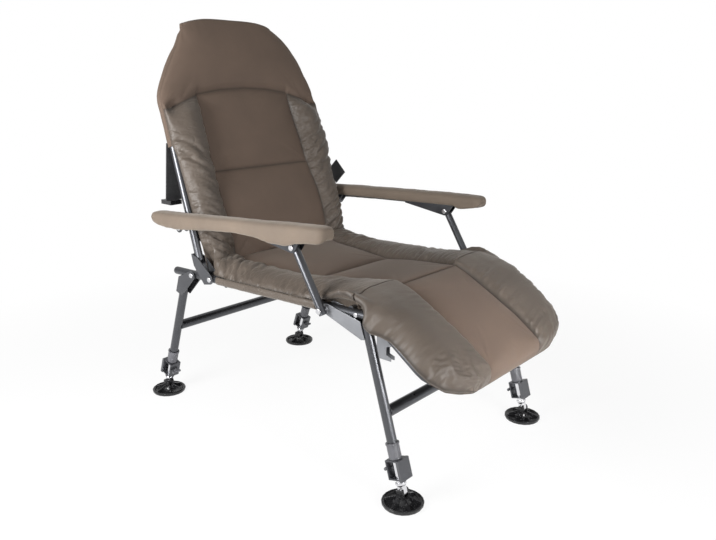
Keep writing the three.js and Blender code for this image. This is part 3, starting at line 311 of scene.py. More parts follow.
# share of the painted seam shadow on the row or column beside each seam line
PAINTED_SHADOW_BESIDE_SEAM = 0.22
STITCH_PITCH, STITCH_LENGTH, STITCH_RADIUS = 5.0 * MM, 3.4 * MM, 0.32 * MM
STITCH_INSET = 0.45
FOLD_REACH = 60


def reading(table, station):
    return float(np.interp(station, *zip(*table)))


def smooth(share):
    share = min(max(share, 0.0), 1.0)
    return share * share * (3 - 2 * share)


def bell(value, centre, width):
    return math.exp(-((value - centre) / width) ** 2)


def dome(share, power=0.4):
    return math.sin(math.pi * min(max(share, 0), 1)) ** power


def run_of(path):
    return np.concatenate([[0], np.cumsum(np.linalg.norm(np.diff(path, axis=0), axis=1))])


def along(at, run, path):
    """Points of the path at the given lengths."""
    return np.stack([np.interp(at, run, column) for column in path.T], axis=-1)


def spline(points, count):
    """count points, evenly spaced, of a smooth curve through the given ones."""
    p = np.array(points, float)
    ends = np.vstack([2 * p[0] - p[1], p, 2 * p[-1] - p[-2]])
    dense = []
    for a, b, c, d in zip(ends, ends[1:], ends[2:], ends[3:]):
        for t in np.linspace(0, 1, 12, endpoint=False):
            dense.append(0.5 * (2 * b + (c - a) * t + (2 * a - 5 * b + 4 * c - d) * t * t
                                + (3 * b - a - 3 * c + d) * t ** 3))
    dense = np.array(dense + [p[-1]])
    run = run_of(dense)
    return along(np.linspace(0, run[-1], count), run, dense)


def bend_noise(x, y, z, scale, depth=3):
    return noise.fractal(Vector((x, y, z)) / scale, 1.0, 2.0, depth)


def stations(*marks):
    """Evenly spaced stations that also fall on each mark, and the index of each mark."""
    out, index = [marks[0]], [0]
    for a, b in zip(marks, marks[1:]):
        steps = max(2, round(abs(b - a) / ROW_PITCH))
        out += [a + (b - a) * (i + 1) / steps for i in range(steps)]
        index.append(len(out) - 1)
    return out, index


def full_row(edge, seam, crown, bolster, tuck, tuck_top=math.inf):
    """A row of (x, height) from tuck to tuck: a crowned panel, with a bolster and a tuck on each side."""
    even = np.linspace(0, 1, PANEL_STEPS + 1)
    share = 0.55 * even + 0.45 * np.sin(even * math.pi / 2)
    panel = np.stack([edge * share, seam + crown * (1 - share ** 5) ** 0.62], axis=1)
    under = spline([bolster[-1], *tuck], TUCK_STEPS + 1)
    under[:, 1] = np.minimum(under[:, 1], tuck_top)
    half = np.vstack([panel, spline([(edge, seam), *bolster], BOLSTER_STEPS + 1)[1:], under[1:]])
    return np.vstack([half[::-1][:-1] * np.array([-1, 1]), half])


def grid_normals(grid):
    normal = np.cross(np.gradient(grid, axis=1), np.gradient(grid, axis=0))
    return normal / np.maximum(np.linalg.norm(normal, axis=2, keepdims=True), 1e-9)


def pressed(points, local, rule, unit=1):
    """Moves each point out by rule(share across a bolster, *its place in the local grid) units."""
    normal = grid_normals(points) * unit
    out = points.copy()
    for r, row in enumerate(local):
        for c, place in enumerate(row):
            out[r, c] += normal[r, c] * rule(ACROSS[c], *place)
    return out


def gathered(points, local, rule, unit):
    """The same on the bolsters alone, short of their seams."""
    return pressed(points, local, lambda share, *place: rule(share, *place) if 0 < share < 1 else 0, unit)


def pinch(along, over, seed, size, stretch=5.0):
    """Pinched cloth: near 0.25 on the backs of its folds and -0.75 in the creases. over runs across them."""
    value = 0.0
    for share, scale, shift in ((0.68, 1.0, 0.0), (0.32, 0.53, 7.7)):
        n = noise.noise(Vector((along / (size * stretch * scale), over / (size * scale), seed + shift)))
        value += share * (min(1.0, abs(n) * 3.4) ** 0.75 - 0.75)
    return value


def shear_fold(grid, run, seam):
    """Leans the sections near one end so that two cushions meet on the plane that halves their angle."""
    out = grid.copy()
    slope = math.tan(math.radians((REST_SLOPE + SEAT_TILT) / 2))
    out[:, :, 1] += np.clip(1 - run / FOLD_REACH, 0, 1) * (grid[:, :, 2] - seam) * slope
    return out


def bolster_share():
    """How far across a bolster each column lies: 0 on its inner seam, 1 on its outer edge, -1 elsewhere."""
    share = np.full(FRONT_COLS, -1.0)
    for k in range(BOLSTER_STEPS + 1):
        share[SEAM_COLS[1] + k] = share[SEAM_COLS[0] - k] = k / BOLSTER_STEPS
    return share


ACROSS = bolster_share()


def quads(rows, cols, wrap=False):
    """Faces of a grid of points. With wrap, its last column joins its first."""
    return [(r * cols + c, r * cols + (c + 1) % cols, (r + 1) * cols + (c + 1) % cols, (r + 1) * cols + c)
            for r in range(rows - 1) for c in range(cols if wrap else cols - 1)]


def by_column(rows, bolster, elsewhere):
    return np.tile(np.where(ACROSS > 0, bolster, elsewhere), (rows, 1))


def pins_for(rows, cross=()):
    pins = np.zeros((rows, FRONT_COLS))
    pins[:, SEAM_COLS] = 1
    pins[:, :EDGE_COLS[0] + 1] = 1
    pins[:, EDGE_COLS[1]:] = 1
    for row in cross:
        pins[row, PANEL_COLS] = 1
    pins[0] = pins[-1] = 1
    return pins


CLOTH = {
    "quality": 5, "mass": 0.15, "air_damping": 2, "bending_stiffness": 0.06,
    "tension_stiffness": 30, "compression_stiffness": 30, "shear_stiffness": 8,
    "tension_damping": 8, "compression_damping": 8, "shear_damping": 8,
    "vertex_group_mass": "pin", "pin_stiffness": 1,
    "vertex_group_shrink": "ease", "shrink_min": 0.0, "shrink_max": -0.22,
    "use_pressure": True, "uniform_pressure_force": 3.0}
CLOTH_FRAMES = 22


def inflate(name, grid, pins, loose, cap, facing=1):
    """Blows the sewn skin up between its pinned seams with a cloth simulation, by no more than cap mm."""
    grid, pins, loose, cap = (part[:, ::facing] for part in (grid, pins, loose, cap))
    rows, cols = grid.shape[:2]
    mesh = bpy.data.meshes.new(name)
    mesh.from_pydata(grid.reshape(-1, 3).tolist(), [], quads(rows, cols))
    obj = linked(name, mesh)
    for word, weights in (("pin", pins), ("ease", loose)):
        group = obj.vertex_groups.new(name=word)
        weights = np.round(weights.ravel(), 2)
        for level in sorted(set(weights) - {0}):
            group.add(np.flatnonzero(weights == level).tolist(), float(level), "REPLACE")
    cloth = obj.modifiers.new("cloth", "CLOTH")
    assign(cloth.settings, **CLOTH).effector_weights.gravity = 0
    assign(cloth.collision_settings, use_collision=False, use_self_collision=False)
    assign(cloth.point_cache, frame_start=1, frame_end=CLOTH_FRAMES)
    for moment in range(1, CLOTH_FRAMES + 1):
        scene.frame_set(moment)
    blown = obj.evaluated_get(bpy.context.evaluated_depsgraph_get())
    out = np.zeros(rows * cols * 3)
    blown.to_mesh().vertices.foreach_get("co", out)
    blown.to_mesh_clear()
    scene.frame_set(1)
    bpy.data.objects.remove(obj)
    bpy.data.meshes.remove(mesh)
    move = out.reshape(rows, cols, 3) - grid
    size = np.linalg.norm(move, axis=2, keepdims=True)
    move *= np.minimum(1.0, cap[..., None] * MM / np.maximum(size, 1e-9))
    return (grid + move)[:, ::facing]


def padded_body(front, rear):
    """Closed faces of a pad: the front rows, and coarser rear rows that run the other way."""
    rows, wide = front.shape[:2]
    back_wide = rear.shape[1]
    ring = wide + back_wide
    points = np.concatenate([front, rear], axis=1).reshape(-1, 3)
    faces = quads(rows, ring, True)
    for r in (0, rows - 1):
        first = [r * ring + c for c in range(wide)]
        second = [r * ring + ring - 1 - c for c in range(back_wide)]
        i = j = 0
        while i < wide - 1 or j < back_wide - 1:
            if (i + 1) / (wide - 1) <= (j + 1) / (back_wide - 1):
                faces.append((first[i], first[i + 1], second[j]))
                i += 1
            else:
                faces.append((first[i], second[j + 1], second[j]))
                j += 1
    return points, faces


def sheet_body(grid, thickness):
    """Closed faces of a cloth sheet with a thickness, from its outer face."""
    rows, cols = grid.shape[:2]
    inner = grid - grid_normals(grid) * thickness
    points = np.concatenate([grid.reshape(-1, 3), inner.reshape(-1, 3)])
    base = rows * cols
    faces = quads(rows, cols)
    faces += [tuple(base + i for i in reversed(face)) for face in faces]
    ids = np.arange(base).reshape(rows, cols)
    rim = [*ids[:, 0], *ids[-1, 1:], *ids[-2::-1, -1], *ids[0, -2:0:-1]]
    faces += [(a, b, base + b, base + a) for a, b in zip(rim, rim[1:] + rim[:1])]
    return points, faces


def stitches(path, normals, radius=STITCH_RADIUS):
    """Thread stitches laid along a line of points on the cloth."""
    run = run_of(path)
    points, faces = [], []
    for start in np.arange(STITCH_PITCH / 2, run[-1] - STITCH_LENGTH, STITCH_PITCH):
        ends = along([start, start + STITCH_LENGTH / 2, start + STITCH_LENGTH], run, path)
        up = along(start, run, normals)
        axis = ends[2] - ends[0]
        axis /= max(np.linalg.norm(axis), 1e-9)
        side = np.cross(axis, up)
        base = len(points)
        for place, lift, size in zip(ends, (-0.1, 0.7, -0.1), (0.6, 1.0, 0.6)):
            for turn in (45, 135, 225, 315):
                a = math.radians(turn)
                points.append(place + up * radius * (lift + size * math.sin(a))
                              + side * radius * size * math.cos(a))
        for face in (*quads(3, 4, True), (3, 2, 1, 0), (8, 9, 10, 11)):
            faces.append(tuple(base + i for i in face))
    return np.array(points).reshape(-1, 3), faces


def topstitch(world, last, crosses=()):
    """Stitches beside both panel seams up to the last row, and on one side of each (row, side) cross seam."""
    normal = grid_normals(world)
    lines = [([(r, col) for r in range(1, last)], 0, side) for col, side in zip(SEAM_COLS, (1, -1))]
    lines += [([(row, c) for c in range(SEAM_COLS[0] + 1, SEAM_COLS[1])], side, 0) for row, side in crosses]
    points, faces = [], []
    for cells, down, right in lines:
        path = [world[r, c] * (1 - STITCH_INSET) + world[r + down, c + right] * STITCH_INSET
                for r, c in cells]
        p, f = stitches(np.array(path), np.array([normal[r + down, c + right] for r, c in cells]))
        faces += [tuple(i + len(points) for i in face) for face in f]
        points += p.tolist()
    return np.array(points), faces


def make_piece(name, parts, materials):
    """One object from closed bodies, each with its face slots and, if it is to be subdivided, its seams."""
    objects = []
    for index, ((points, faces), slots, *seam) in enumerate(parts):
        mesh = bpy.data.meshes.new(f"{name}_{index}")
        mesh.from_pydata(np.asarray(points).tolist(), [], [tuple(int(i) for i in f) for f in faces])
        for mat in materials:
            mesh.materials.append(mat)
        mesh.polygons.foreach_set("material_index", np.full(len(faces), slots))
        # the seam values become the seam attribute, which darkens the cloth as painted shadow along the seams
        values = np.ravel(seam) if seam else np.zeros(len(points))
        mesh.attributes.new("seam", "FLOAT", "POINT").data.foreach_set("value", values.astype(np.float32))
        obj = linked(f"{name}_{index}", mesh)
        bm = bmesh.new()
        bm.from_mesh(mesh)
        bmesh.ops.recalc_face_normals(bm, faces=bm.faces)
        bm.to_mesh(mesh)
        bm.free()
        if seam:
            assign(obj.modifiers.new("fine", "SUBSURF"), levels=1, render_levels=1)
        objects.append(obj)
    deps = bpy.context.evaluated_depsgraph_get()
    for obj in objects:
        new = bpy.data.meshes.new_from_object(obj.evaluated_get(deps))
        old = obj.data
        obj.modifiers.clear()
        obj.data = new
        bpy.data.meshes.remove(old)
    piece = objects[0]
    if len(objects) > 1:
        with bpy.context.temp_override(active_object=piece, selected_editable_objects=objects,
                                       selected_objects=objects):
            bpy.ops.object.join()
    piece.name = piece.data.name = name
    piece.data.polygons.foreach_set("use_smooth", [True] * len(piece.data.polygons))
    return piece


def painted_seam_shadow_mask(rows, ring, lines):
    """Mask of painted seam shadow: 1 on each seam line and less beside it. A line is a row and a slice of
    columns, or the reverse.
    """
    values = np.zeros((rows, ring))
    for row, col in lines:
        for shift in (-1, 0, 1):
            spot = (row, col + shift) if isinstance(row, slice) else (max(row + shift, 0), col)
            values[spot] = np.maximum(values[spot], PAINTED_SHADOW_BESIDE_SEAM if shift else 1.0)
    return values


def rear_of(front, height_at):
    """Coarse rear rows behind the front ones, from right to left, at the height that the rule gives."""
    return np.array([[(row[c][0] * REAR_NARROW, row[c][1], height_at(r, *row[c])) for c in REAR_COLS]
                     for r, row in enumerate(front)], float)


def sewn_skin(world, rear, crosses, head_row=None):
    """A closed pad with its seams, in panel cloth between the panel seams and above the head seam."""
    rows, ring = len(world), FRONT_COLS + rear.shape[1]
    head_row = head_row or rows
    points, faces = padded_body(world, rear)
    lines = [(slice(head_row + 1), col) for col in SEAM_COLS] + [(slice(rows), col) for col in EDGE_COLS]
    slots = [0 if r >= head_row or SEAM_COLS[0] <= c < SEAM_COLS[1] else 1
             for r in range(rows - 1) for c in range(ring)]
    slots += [1] * (len(faces) - len(slots))
    return (points, faces), slots, painted_seam_shadow_mask(rows, ring, lines + crosses)


# ---- seat cushion
SEAT_FRONT, SEAT_CROSS, SEAT_REAR = -284.0, -51.0, 200.0
SEAT_FOLD_SEAM = 31
SEAT_UNDER = 1.6
SLEEVE_GAP, SLEEVE_CLOTH = 1.9, 1.2
SLEEVE_TURN, SLEEVE_POINTS = (52, -232), 23


def seat_rows():
    marks, index = stations(SEAT_FRONT, SEAT_CROSS, SEAT_REAR)
    panel_edge = [(-284, 109), (-51, 140), (172, 163), (200, 166)]
    seam_high = [(-284, 30), (-240, 24), (-51, 8), (150, 24), (200, 36)]
    crest_high = [(-284, 45), (-230, 40), (-170, 35), (-51, 31), (60, 33), (140, 42), (200, 52)]
    lift_high = [(-284, 25), (-264, 30), (-238, 27), (-208, 13), (-180, 2), (-150, 0), (200, 0)]
    edge_wide = [(-284, 263), (-250, 262), (-200, 264), (-170, 265), (120, 265), (170, 258), (200, 248)]
    rows = []
    for y in marks:
        share = (y + 284) / 233 if y <= SEAT_CROSS else (y + 51) / 251
        edge, seam, crest, lift, wide = (
            reading(table, y) for table in (panel_edge, seam_high, crest_high, lift_high, edge_wide))
        low = 8.5 + lift
        inner = 11.4 + 0.5 * lift
        bolster = [
            (edge + 3, seam + 7), (edge + 11, seam * 0.55 + crest * 0.45 + 6),
            (edge + 0.5 * (214 - edge), seam * 0.2 + crest * 0.8 + 4),
            (214, crest), (242, crest - 6), (wide - 4, low + 11), (wide, low)]
        tuck = [(wide - 4, inner + 0.6), (250, inner), (243, 7 + 0.3 * lift), (238, 2.2)]
        rows.append([(x, y, h) for x, h in full_row(edge, seam, 12 * dome(share), bolster, tuck)])
    return np.array(rows, float), index[1]


def seat_swell(across, x, y, h):
    if across < 0:
        return 0.4 * bend_noise(x, y, 7.0, 60)
    return 1.2 * bend_noise(x, y, 4.0, 34) * smooth(across * 5)


def seat_gathers(across, x, y, h):
    side = 1 if x > 0 else 5
    out = abs(x) - 120
    inner = smooth(across / 0.12)
    # slanted folds crushed against the back, and the small ones drawn in along the sleeve's seam
    crushed = 12.0 * smooth((y - 20) / 90) * inner * smooth((1 - across) * 9)
    value = crushed * pinch(out - 0.4 * y, y + 0.55 * out, 3.0 * side, 22, 4)
    hem = smooth((across - 0.5) / 0.4) * smooth((y + 190) / 20)
    value += 6.0 * hem * pinch(across * 60, y + 0.25 * out, 11.0 * side, 14, 7)
    value += 4.5 * (1 - smooth((across - 0.1) / 0.35)) * pinch(across * 50, y, 17.0 * side, 15, 6) * inner
    value += 8.0 * bell(y, -150, 45) * pinch(out + 0.5 * y, y - 0.6 * out, 23.0 * side, 26, 5) * inner
    return value * smooth((y + 280) / 26)


def sleeve_grid(side):
    """Cloth sleeve round a side tube, its outer face outwards."""
    rows = []
    for y in np.linspace(-176, 164, 60):
        row = []
        for a in np.radians(np.linspace(*SLEEVE_TURN, SLEEVE_POINTS)):
            wave = 0.7 * bend_noise(math.cos(a) * 12, y, 5.0 * side + math.sin(a) * 12, 22)
            r = TUBE_RADIUS + SLEEVE_GAP + wave
            row.append((side * (HALF_SPAN + r * math.cos(a)), y, r * math.sin(a)))
        rows.append(row[::side])
    return np.array(rows, float)


seat_flat, seat_cross = seat_rows()
seat_grid = pressed(seat_flat, seat_flat, seat_swell)
seat_grid = shear_fold(seat_grid, np.abs(seat_grid[:, :, 1] - SEAT_FRONT), SEAT_FOLD_SEAM)


def make_seat_piece():
    world = to_scene(seat_grid, SEAT)
    rows = len(world)
    loose = by_column(rows, 0.55, 0.12)
    loose[rows * 2 // 3:] *= 1.3
    world = inflate("seat_blow", world, pins_for(rows, [seat_cross]), loose, by_column(rows, 7.0, 6.0))
    world = gathered(world, seat_flat, seat_gathers, MM)
    rear = to_scene(rear_of(seat_grid, lambda r, x, y, h: SEAT_UNDER), SEAT)
    parts = [sewn_skin(world, rear, [(seat_cross, PANEL_COLS), (0, PANEL_COLS)])]
    for side in (1, -1):
        parts.append((sheet_body(to_scene(sleeve_grid(side), SEAT), SLEEVE_CLOTH * MM), 1))
    parts.append((topstitch(world, rows - 1, [(seat_cross, 1)]), 2))
    piece = make_piece("seat_pad", parts, [panel_cloth, bolster_cloth, thread])
    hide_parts("seat_cushion")
    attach(piece, "seat")
    return piece


# ---- leg rest cushion: t runs down its length from the pivot
REST_FALL = 4.0
REST_START, REST_BODY, REST_RIM = -22.0, 236.0, 26.0
REST_SEAM = 22.7
REST_EASE = 8
REST_EDGE = {
    -1: [(-22, 262), (0, 263), (14, 268), (28, 279), (54, 279), (72, 267), (92, 259), (120, 258), (175, 262),
         (205, 257), (232, 236), (250, 204), (262, 165)],
    1: [(-22, 262), (0, 263), (14, 267), (28, 278), (56, 278), (80, 271), (110, 272), (180, 264), (215, 250),
        (236, 232), (250, 206), (262, 170)],
}
REST_HEM = {
    -1: [(-22, 24), (0, 26), (14, 22), (26, 10), (36, 3), (52, 3), (72, 8), (92, 11), (120, 11), (200, 9),
         (262, 0)],
    1: [(-22, 24), (0, 24), (14, 20), (26, 10), (36, 4), (56, 5), (80, 12), (120, 16), (200, 14), (262, 4)],
}
POCKET_CLOTH = 1.2


def rest_under(t):
    return 7.6 - max(t, 0) * math.tan(math.radians(REST_FALL))


def rest_rows():
    seam_edge = [(-22, 109), (30, 108), (262, 107)]
    seam_high = [(-22, REST_SEAM), (20, 27), (90, 30), (170, 33), (236, 29)]
    crest_high = [(-22, 38), (20, 49), (60, 56), (130, 57), (198, 51), (236, 42)]
    rows = []
    rim = [(REST_BODY + REST_RIM * math.sin(a), math.cos(a)) for a in np.linspace(0, math.pi / 2, 9)[1:]]
    for t, full in [(t, 1.0) for t in stations(REST_START, REST_BODY)[0]] + rim:
        tt = min(t, REST_BODY)
        edge, seam, crest = reading(seam_edge, t), reading(seam_high, tt), reading(crest_high, tt)
        under = rest_under(t)
        base = under + 6
        seam = base + (seam - base) * full
        rise = full ** 0.8 * smooth((t + 22) / 30 + 0.1)
        crown = 13 * dome(0.04 + 0.9 * min((t + 22) / 270, 1), 0.5) * rise
        halves = []
        for sign in (-1, 1):
            wide, hem = reading(REST_EDGE[sign], t), reading(REST_HEM[sign], tt)
            top = base + (crest + sign * 3 * smooth((t - 20) / 60) - base) * full ** 0.7
            hem = base + (hem - base) * full
            span = wide - edge
            bolster = [
                (edge + 0.02 * span, seam + 8 * full),
                (edge + 0.07 * span, seam * 0.5 + top * 0.5 + 4 * full),
                (edge + 0.38 * span, seam * 0.1 + top * 0.9), (edge + 0.62 * span, top),
                (edge + 0.845 * span, top - 6 * full), (edge + 0.968 * span, hem + 15 * full),
                (wide, hem + 4 * full)]
            tuck = [(wide - 2, hem - 3 * full), (wide - 9, max(under + 1.5, hem - 6 * full)),
                    (wide - 22, under + 2.0), (wide - 30, under + 0.6)]
            halves.append(full_row(edge, seam, crown, bolster, tuck))
        rows.append([(x, -t, h) for x, h in np.vstack([halves[0][:CENTRE], halves[1][CENTRE:]])])
    return np.array(rows, float)


def rest_swell(across, x, y, h):
    if across < 0:
        return 0.35 * bend_noise(x, y, 3.0, 70)
    return bend_noise(x, y, 9.0, 40) * smooth(across * 5)


def rest_gathers(across, x, y, h):
    t = -y
    side, near = (1, False) if x > 0 else (5, True)
    # short folds drawn in at the inner seam, small ones at the hem, deep ones round the lower corner
    value = (3.0 if near else 7.0) * (1 - smooth((across - 0.12) / 0.38)) * smooth(across / 0.1) * pinch(
        across * 60, t + 0.5 * across * 100, side * 6, 17, 6)
    hem = smooth((across - 0.6) / 0.25) * (0.2 + 0.8 * smooth((t - 52) / 25))
    value += 5.0 * hem * pinch(across * 60, t, side * 13, 14, 6)
    corner = smooth((t - 165) / 40) * smooth((across - 0.2) / 0.4)
    value += (11.0 if near else 6.0) * corner * pinch(t, x + 0.5 * t, side * 4, 14, 8)
    value += 2.0 * bell(t, 18, 16) * smooth(across * 3) * pinch(x, t, side * 21, 14, 6)
    return value * smooth((t - 2) / 24) * (0.15 + 0.85 * smooth((263 - t) / 14 + across * 1.4))


def rest_pocket():
    """Pocket that slips over the foot of the leg rest frame."""
    rows = []
    for t in np.linspace(150, 256, 20):
        wide = reading([(150, 246), (200, 238), (225, 220), (245, 196), (256, 180)], t)
        low = reading([(150, 0.0), (170, -2.0), (200, -9.5), (215, -10.0), (235, -7.5), (256, 4.0)], t)
        level = rest_under(t) + low - 1.5
        rows.append([(x, -t, level + 12 * (abs(x) / wide) ** 14 + 0.8 * bend_noise(x, t, 9.0, 30))
                     for x in np.linspace(-wide, wide, 60)])
    return np.array(rows, float)


def make_rest_piece():
    flat = rest_rows()
    rows = len(flat)
    grid = pressed(flat, flat, rest_swell)
    grid = shear_fold(grid, -grid[:, :, 1] - REST_START, REST_SEAM)
    world = to_scene(grid, REST)
    # the first rows ease onto the seat cushion's front edge, so that the cover runs on unbroken
    gap = to_scene(seat_grid, SEAT)[0] - world[0]
    for r in range(REST_EASE):
        world[r] += gap * smooth(1 - r / REST_EASE)
    loose, cap = by_column(rows, 0.5, 0.1), by_column(rows, 6.0, 6.0)
    world = inflate("rest_blow", world, pins_for(rows), loose, cap, -1)
    world = gathered(world, flat, rest_gathers, -MM)
    rear = to_scene(rear_of(grid, lambda r, x, y, h: rest_under(-y)), REST)
    parts = [
        sewn_skin(world, rear, [(0, PANEL_COLS)]),
        (sheet_body(to_scene(rest_pocket(), REST), POCKET_CLOTH * MM), 1),
        (topstitch(world, rows - 1), 2)]
    piece = make_piece("leg_rest_pad", parts, [panel_cloth, taut_cloth, thread])
    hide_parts("leg_rest_cushion")
    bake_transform(piece)
    return piece


# ---- back cushion: s runs up the back, f out of its face
OUTLINE = [(14, 222), (34, 230), (60, 238), (82, 254), (150, 260), (250, 264), (335, 269), (390, 269),
           (430, 270), (450, 271), (466, 269), (480, 264), (499, 254), (541, 228), (570, 207), (598, 187),
           (625, 173), (642, 164), (660, 143)]
FAR_SHARE = [(330, 1.0), (400, 0.965), (441, 0.95), (480, 0.965), (519, 1.0), (570, 1.07), (598, 1.10),
             (628, 1.05), (644, 1.0), (660, 0.92)]
BACK_FOOT, BACK_CROSS = 14.0, 265.0
HEAD_LOW, HEAD_TOP = 428.0, 652.0
HEAD_ROWS = 38
HEAD_FLAT = 9.5
HEAD_SEAM = [(0, 483), (80, 479), (157, 468), (163, 464), (200, 451), (262, 430), (270, 428)]
HEAD_NEAR, HEAD_FAR = 270.0, 257.0
HOOP = [(256, 52), (256, 430), (243, 470), (138, 645), (0, 645)]
HEAD_CLOTH = 1.3


def far_share(x, s):
    """The head leans to one side: how wide its far half is, beside the near one."""
    return reading(FAR_SHARE, s) if x > 0 else 1


def hoop_distance(x, s):
    best = 1e9
    for (ax, a), (bx, b) in zip(HOOP, HOOP[1:]):
        dx, ds = bx - ax, b - a
        t = min(max(((x - ax) * dx + (s - a) * ds) / (dx * dx + ds * ds), 0), 1)
        best = min(best, math.hypot(x - ax - t * dx, s - a - t * ds))
    return best


def head_rows(last):
    """The head pocket's face, from the row on its seam up to the hoop, and then over its edge."""
    rows = []
    for k in range(1, HEAD_ROWS + 1):
        v = k / HEAD_ROWS
        s_out = HEAD_LOW + v * (HEAD_TOP - HEAD_LOW)
        fold = 1 - smooth(v / 0.10)
        row = []
        for c, (x0, s_seam, f0) in enumerate(last):
            g = min(abs(x0) / (HEAD_NEAR if x0 < 0 else HEAD_FAR), 1.0)
            s = s_seam * (1 - v) + (HEAD_TOP + 5 - 15 * g ** 4) * v
            wide = reading(OUTLINE, s_out) * far_share(x0, s_out)
            x = math.copysign(min(g, 0.997) * wide, x0) if x0 else 0.0
            if ACROSS[c] >= 0.999:
                face = HEAD_FLAT
            elif c < EDGE_COLS[0] or c > EDGE_COLS[1]:
                face = min(f0, 11.8)
            else:
                face = HEAD_FLAT + (7 + 13 * dome((0.1 + 0.9 * v) * 0.86, 0.8)) * (1 - g ** 4) ** 0.5
            row.append((x, s, face * (1 - fold) + f0 * fold))
        rows.append(row)
    for a in np.linspace(0, math.pi / 2, 7)[1:]:
        rows.append([(x * (1 - 0.012 * math.sin(a)), s + 10 * math.sin(a), 0.5 + (f - 0.5) * math.cos(a))
                     for x, s, f in rows[HEAD_ROWS - 1]])
    return rows


def back_rows():
    marks, (_, mid_row, head_row) = stations(BACK_FOOT, BACK_CROSS, HEAD_LOW)
    panel_edge = [(14, 168), (130, 173), (184, 173), (265, 167), (428, 161)]
    face_high = [(14, 26), (34, 32), (80, 37), (130, 37), (184, 31), (265, 17), (350, 10), (428, 8)]
    crest_high = [(14, 36), (60, 50), (130, 55), (200, 53), (265, 50), (380, 46), (404, 42), (418, 30),
                  (428, 14)]
    rows = []
    for k, s0 in enumerate(marks):
        # rows bend up towards the head seam, and close at the foot
        ease = max(0.0, (k - mid_row) / (head_row - mid_row))
        close = math.sin(math.pi / 2 * min((s0 - 10) / 26, 1))
        edge, wide, seam, crest = (
            reading(table, s0) for table in (panel_edge, OUTLINE, face_high, crest_high))
        sleeve = smooth((s0 - 318) / 26)
        out_x = (wide - 4) * (1 - sleeve) + (wide - 1) * sleeve
        out_f = 8 + (12.5 * (1 - sleeve) + 8.5 * sleeve - 8) * close
        crown = 11.0 * dome(ease or (s0 - 14) / 251) * close
        seam, crest = 6 + (seam - 6) * close, 8 + (crest - 8) * close
        bolster = [
            (edge + 3, seam * 0.75 + crest * 0.25 + 2 * close), (edge + 10, seam * 0.4 + crest * 0.6),
            (edge + 0.33 * (214 - edge) + 10, seam * 0.1 + crest * 0.9),
            (216, crest), (243, crest - 9 * close), (out_x - 2, out_f + 13 * close), (out_x, out_f)]
        tuck = [(out_x - 5, 11.8), (250, 11.6), (243, 9.5), (236, 3.0)]
        row = []
        for x, f in full_row(edge, seam, crown, bolster, tuck, 12 if close < 1 else math.inf):
            s = s0 + ease * (reading(HEAD_SEAM, abs(x)) - HEAD_LOW) * ease
            row.append((x * far_share(x, s), s, f))
        rows.append(row)
    return np.array(rows + head_rows(rows[-1]), float), (mid_row, head_row, len(rows) + HEAD_ROWS - 1)


def back_swell(across, x, s, f):
    if across < 0:
        return 0.4 * bend_noise(x, s, 2.0, 80)
    return 0.9 * bend_noise(x, s, 6.0 if x > 0 else 30.0, 50) * smooth(across * 6) * smooth((1 - across) * 5)


def back_gathers(across, x, s, f):
    target = reading(HEAD_SEAM, abs(x))
    if s > target - 3:
        return 0
    out = abs(x) - 163
    if x > 0:
        side, seam_depth = 1, 7.0
        heap = 0.45 + 0.65 * bell(s, 290, 70) + 0.6 * smooth((160 - s) / 60)
    else:
        side, seam_depth = 5, 4.0
        heap = bell(s, 285 + 0.4 * out, 42) + 0.9 * smooth((170 - s) / 70) + 0.45 * smooth((270 - s) / 60)
    inner, outer = smooth(across / 0.1), smooth((1 - across) * 7)
    over = s - 0.6 * out
    value = 13.0 * min(heap, 1.2) * pinch(out + 0.3 * s, over, 3.0 * side, 21, 5) * inner * outer
    drawn = seam_depth * (1 - smooth((across - 0.1) / 0.35)) * inner
    value += drawn * pinch(across * 60, over, 9.0 * side, 15, 5)
    value += 3.0 * smooth((across - 0.6) / 0.3) * outer * pinch(across * 60, s, 15.0 * side, 14, 5)
    return value * smooth((target - s) / 30)


def head_pocket():
    """Cloth of the pocket behind the hoop, open at its foot and closed at its top."""
    close_rows = [646, 652, 657, 661, 664, 665.6, 666.2]
    rows = []
    for s in [*np.linspace(340, 460, 18), *np.linspace(468, 640, 24), *close_rows]:
        wide = reading(OUTLINE, min(s, 650)) - 0.8
        shut = math.sqrt(max(0.0, 1 - max(0.0, (s - 646) / 20.4) ** 2))
        deep = -13.2 * shut
        half = spline([(wide - 7, 10.5 * shut), (wide - 1.5, 6.5 * shut), (wide + 1.0, 0.0),
                       (wide - 1.5, deep * 0.62), (wide - 9, deep * 0.96), (wide - 20, deep)], 14)
        run = np.vstack([half, np.stack([np.linspace(wide - 20, 0, 18)[1:], np.full(17, deep)], axis=1)])
        row = []
        for x, f in np.vstack([run, run[::-1][1:] * np.array([-1, 1])]):
            wave = bend_noise(x, s, 31.0, 45) + 0.6 * bend_noise(x, s, 12.0, 16)
            drop = 15 * (abs(x) / wide) ** 4 * smooth((s - 560) / 90)
            row.append((x * far_share(x, s), s - drop, f - wave * shut * (1 if f < deep * 0.5 else 0.2)))
        rows.append(row)
    return np.array(rows, float)


def back_to_scene(grid):
    return to_scene(np.stack([grid[:, :, 0], -grid[:, :, 2], grid[:, :, 1]], axis=2), BACK)


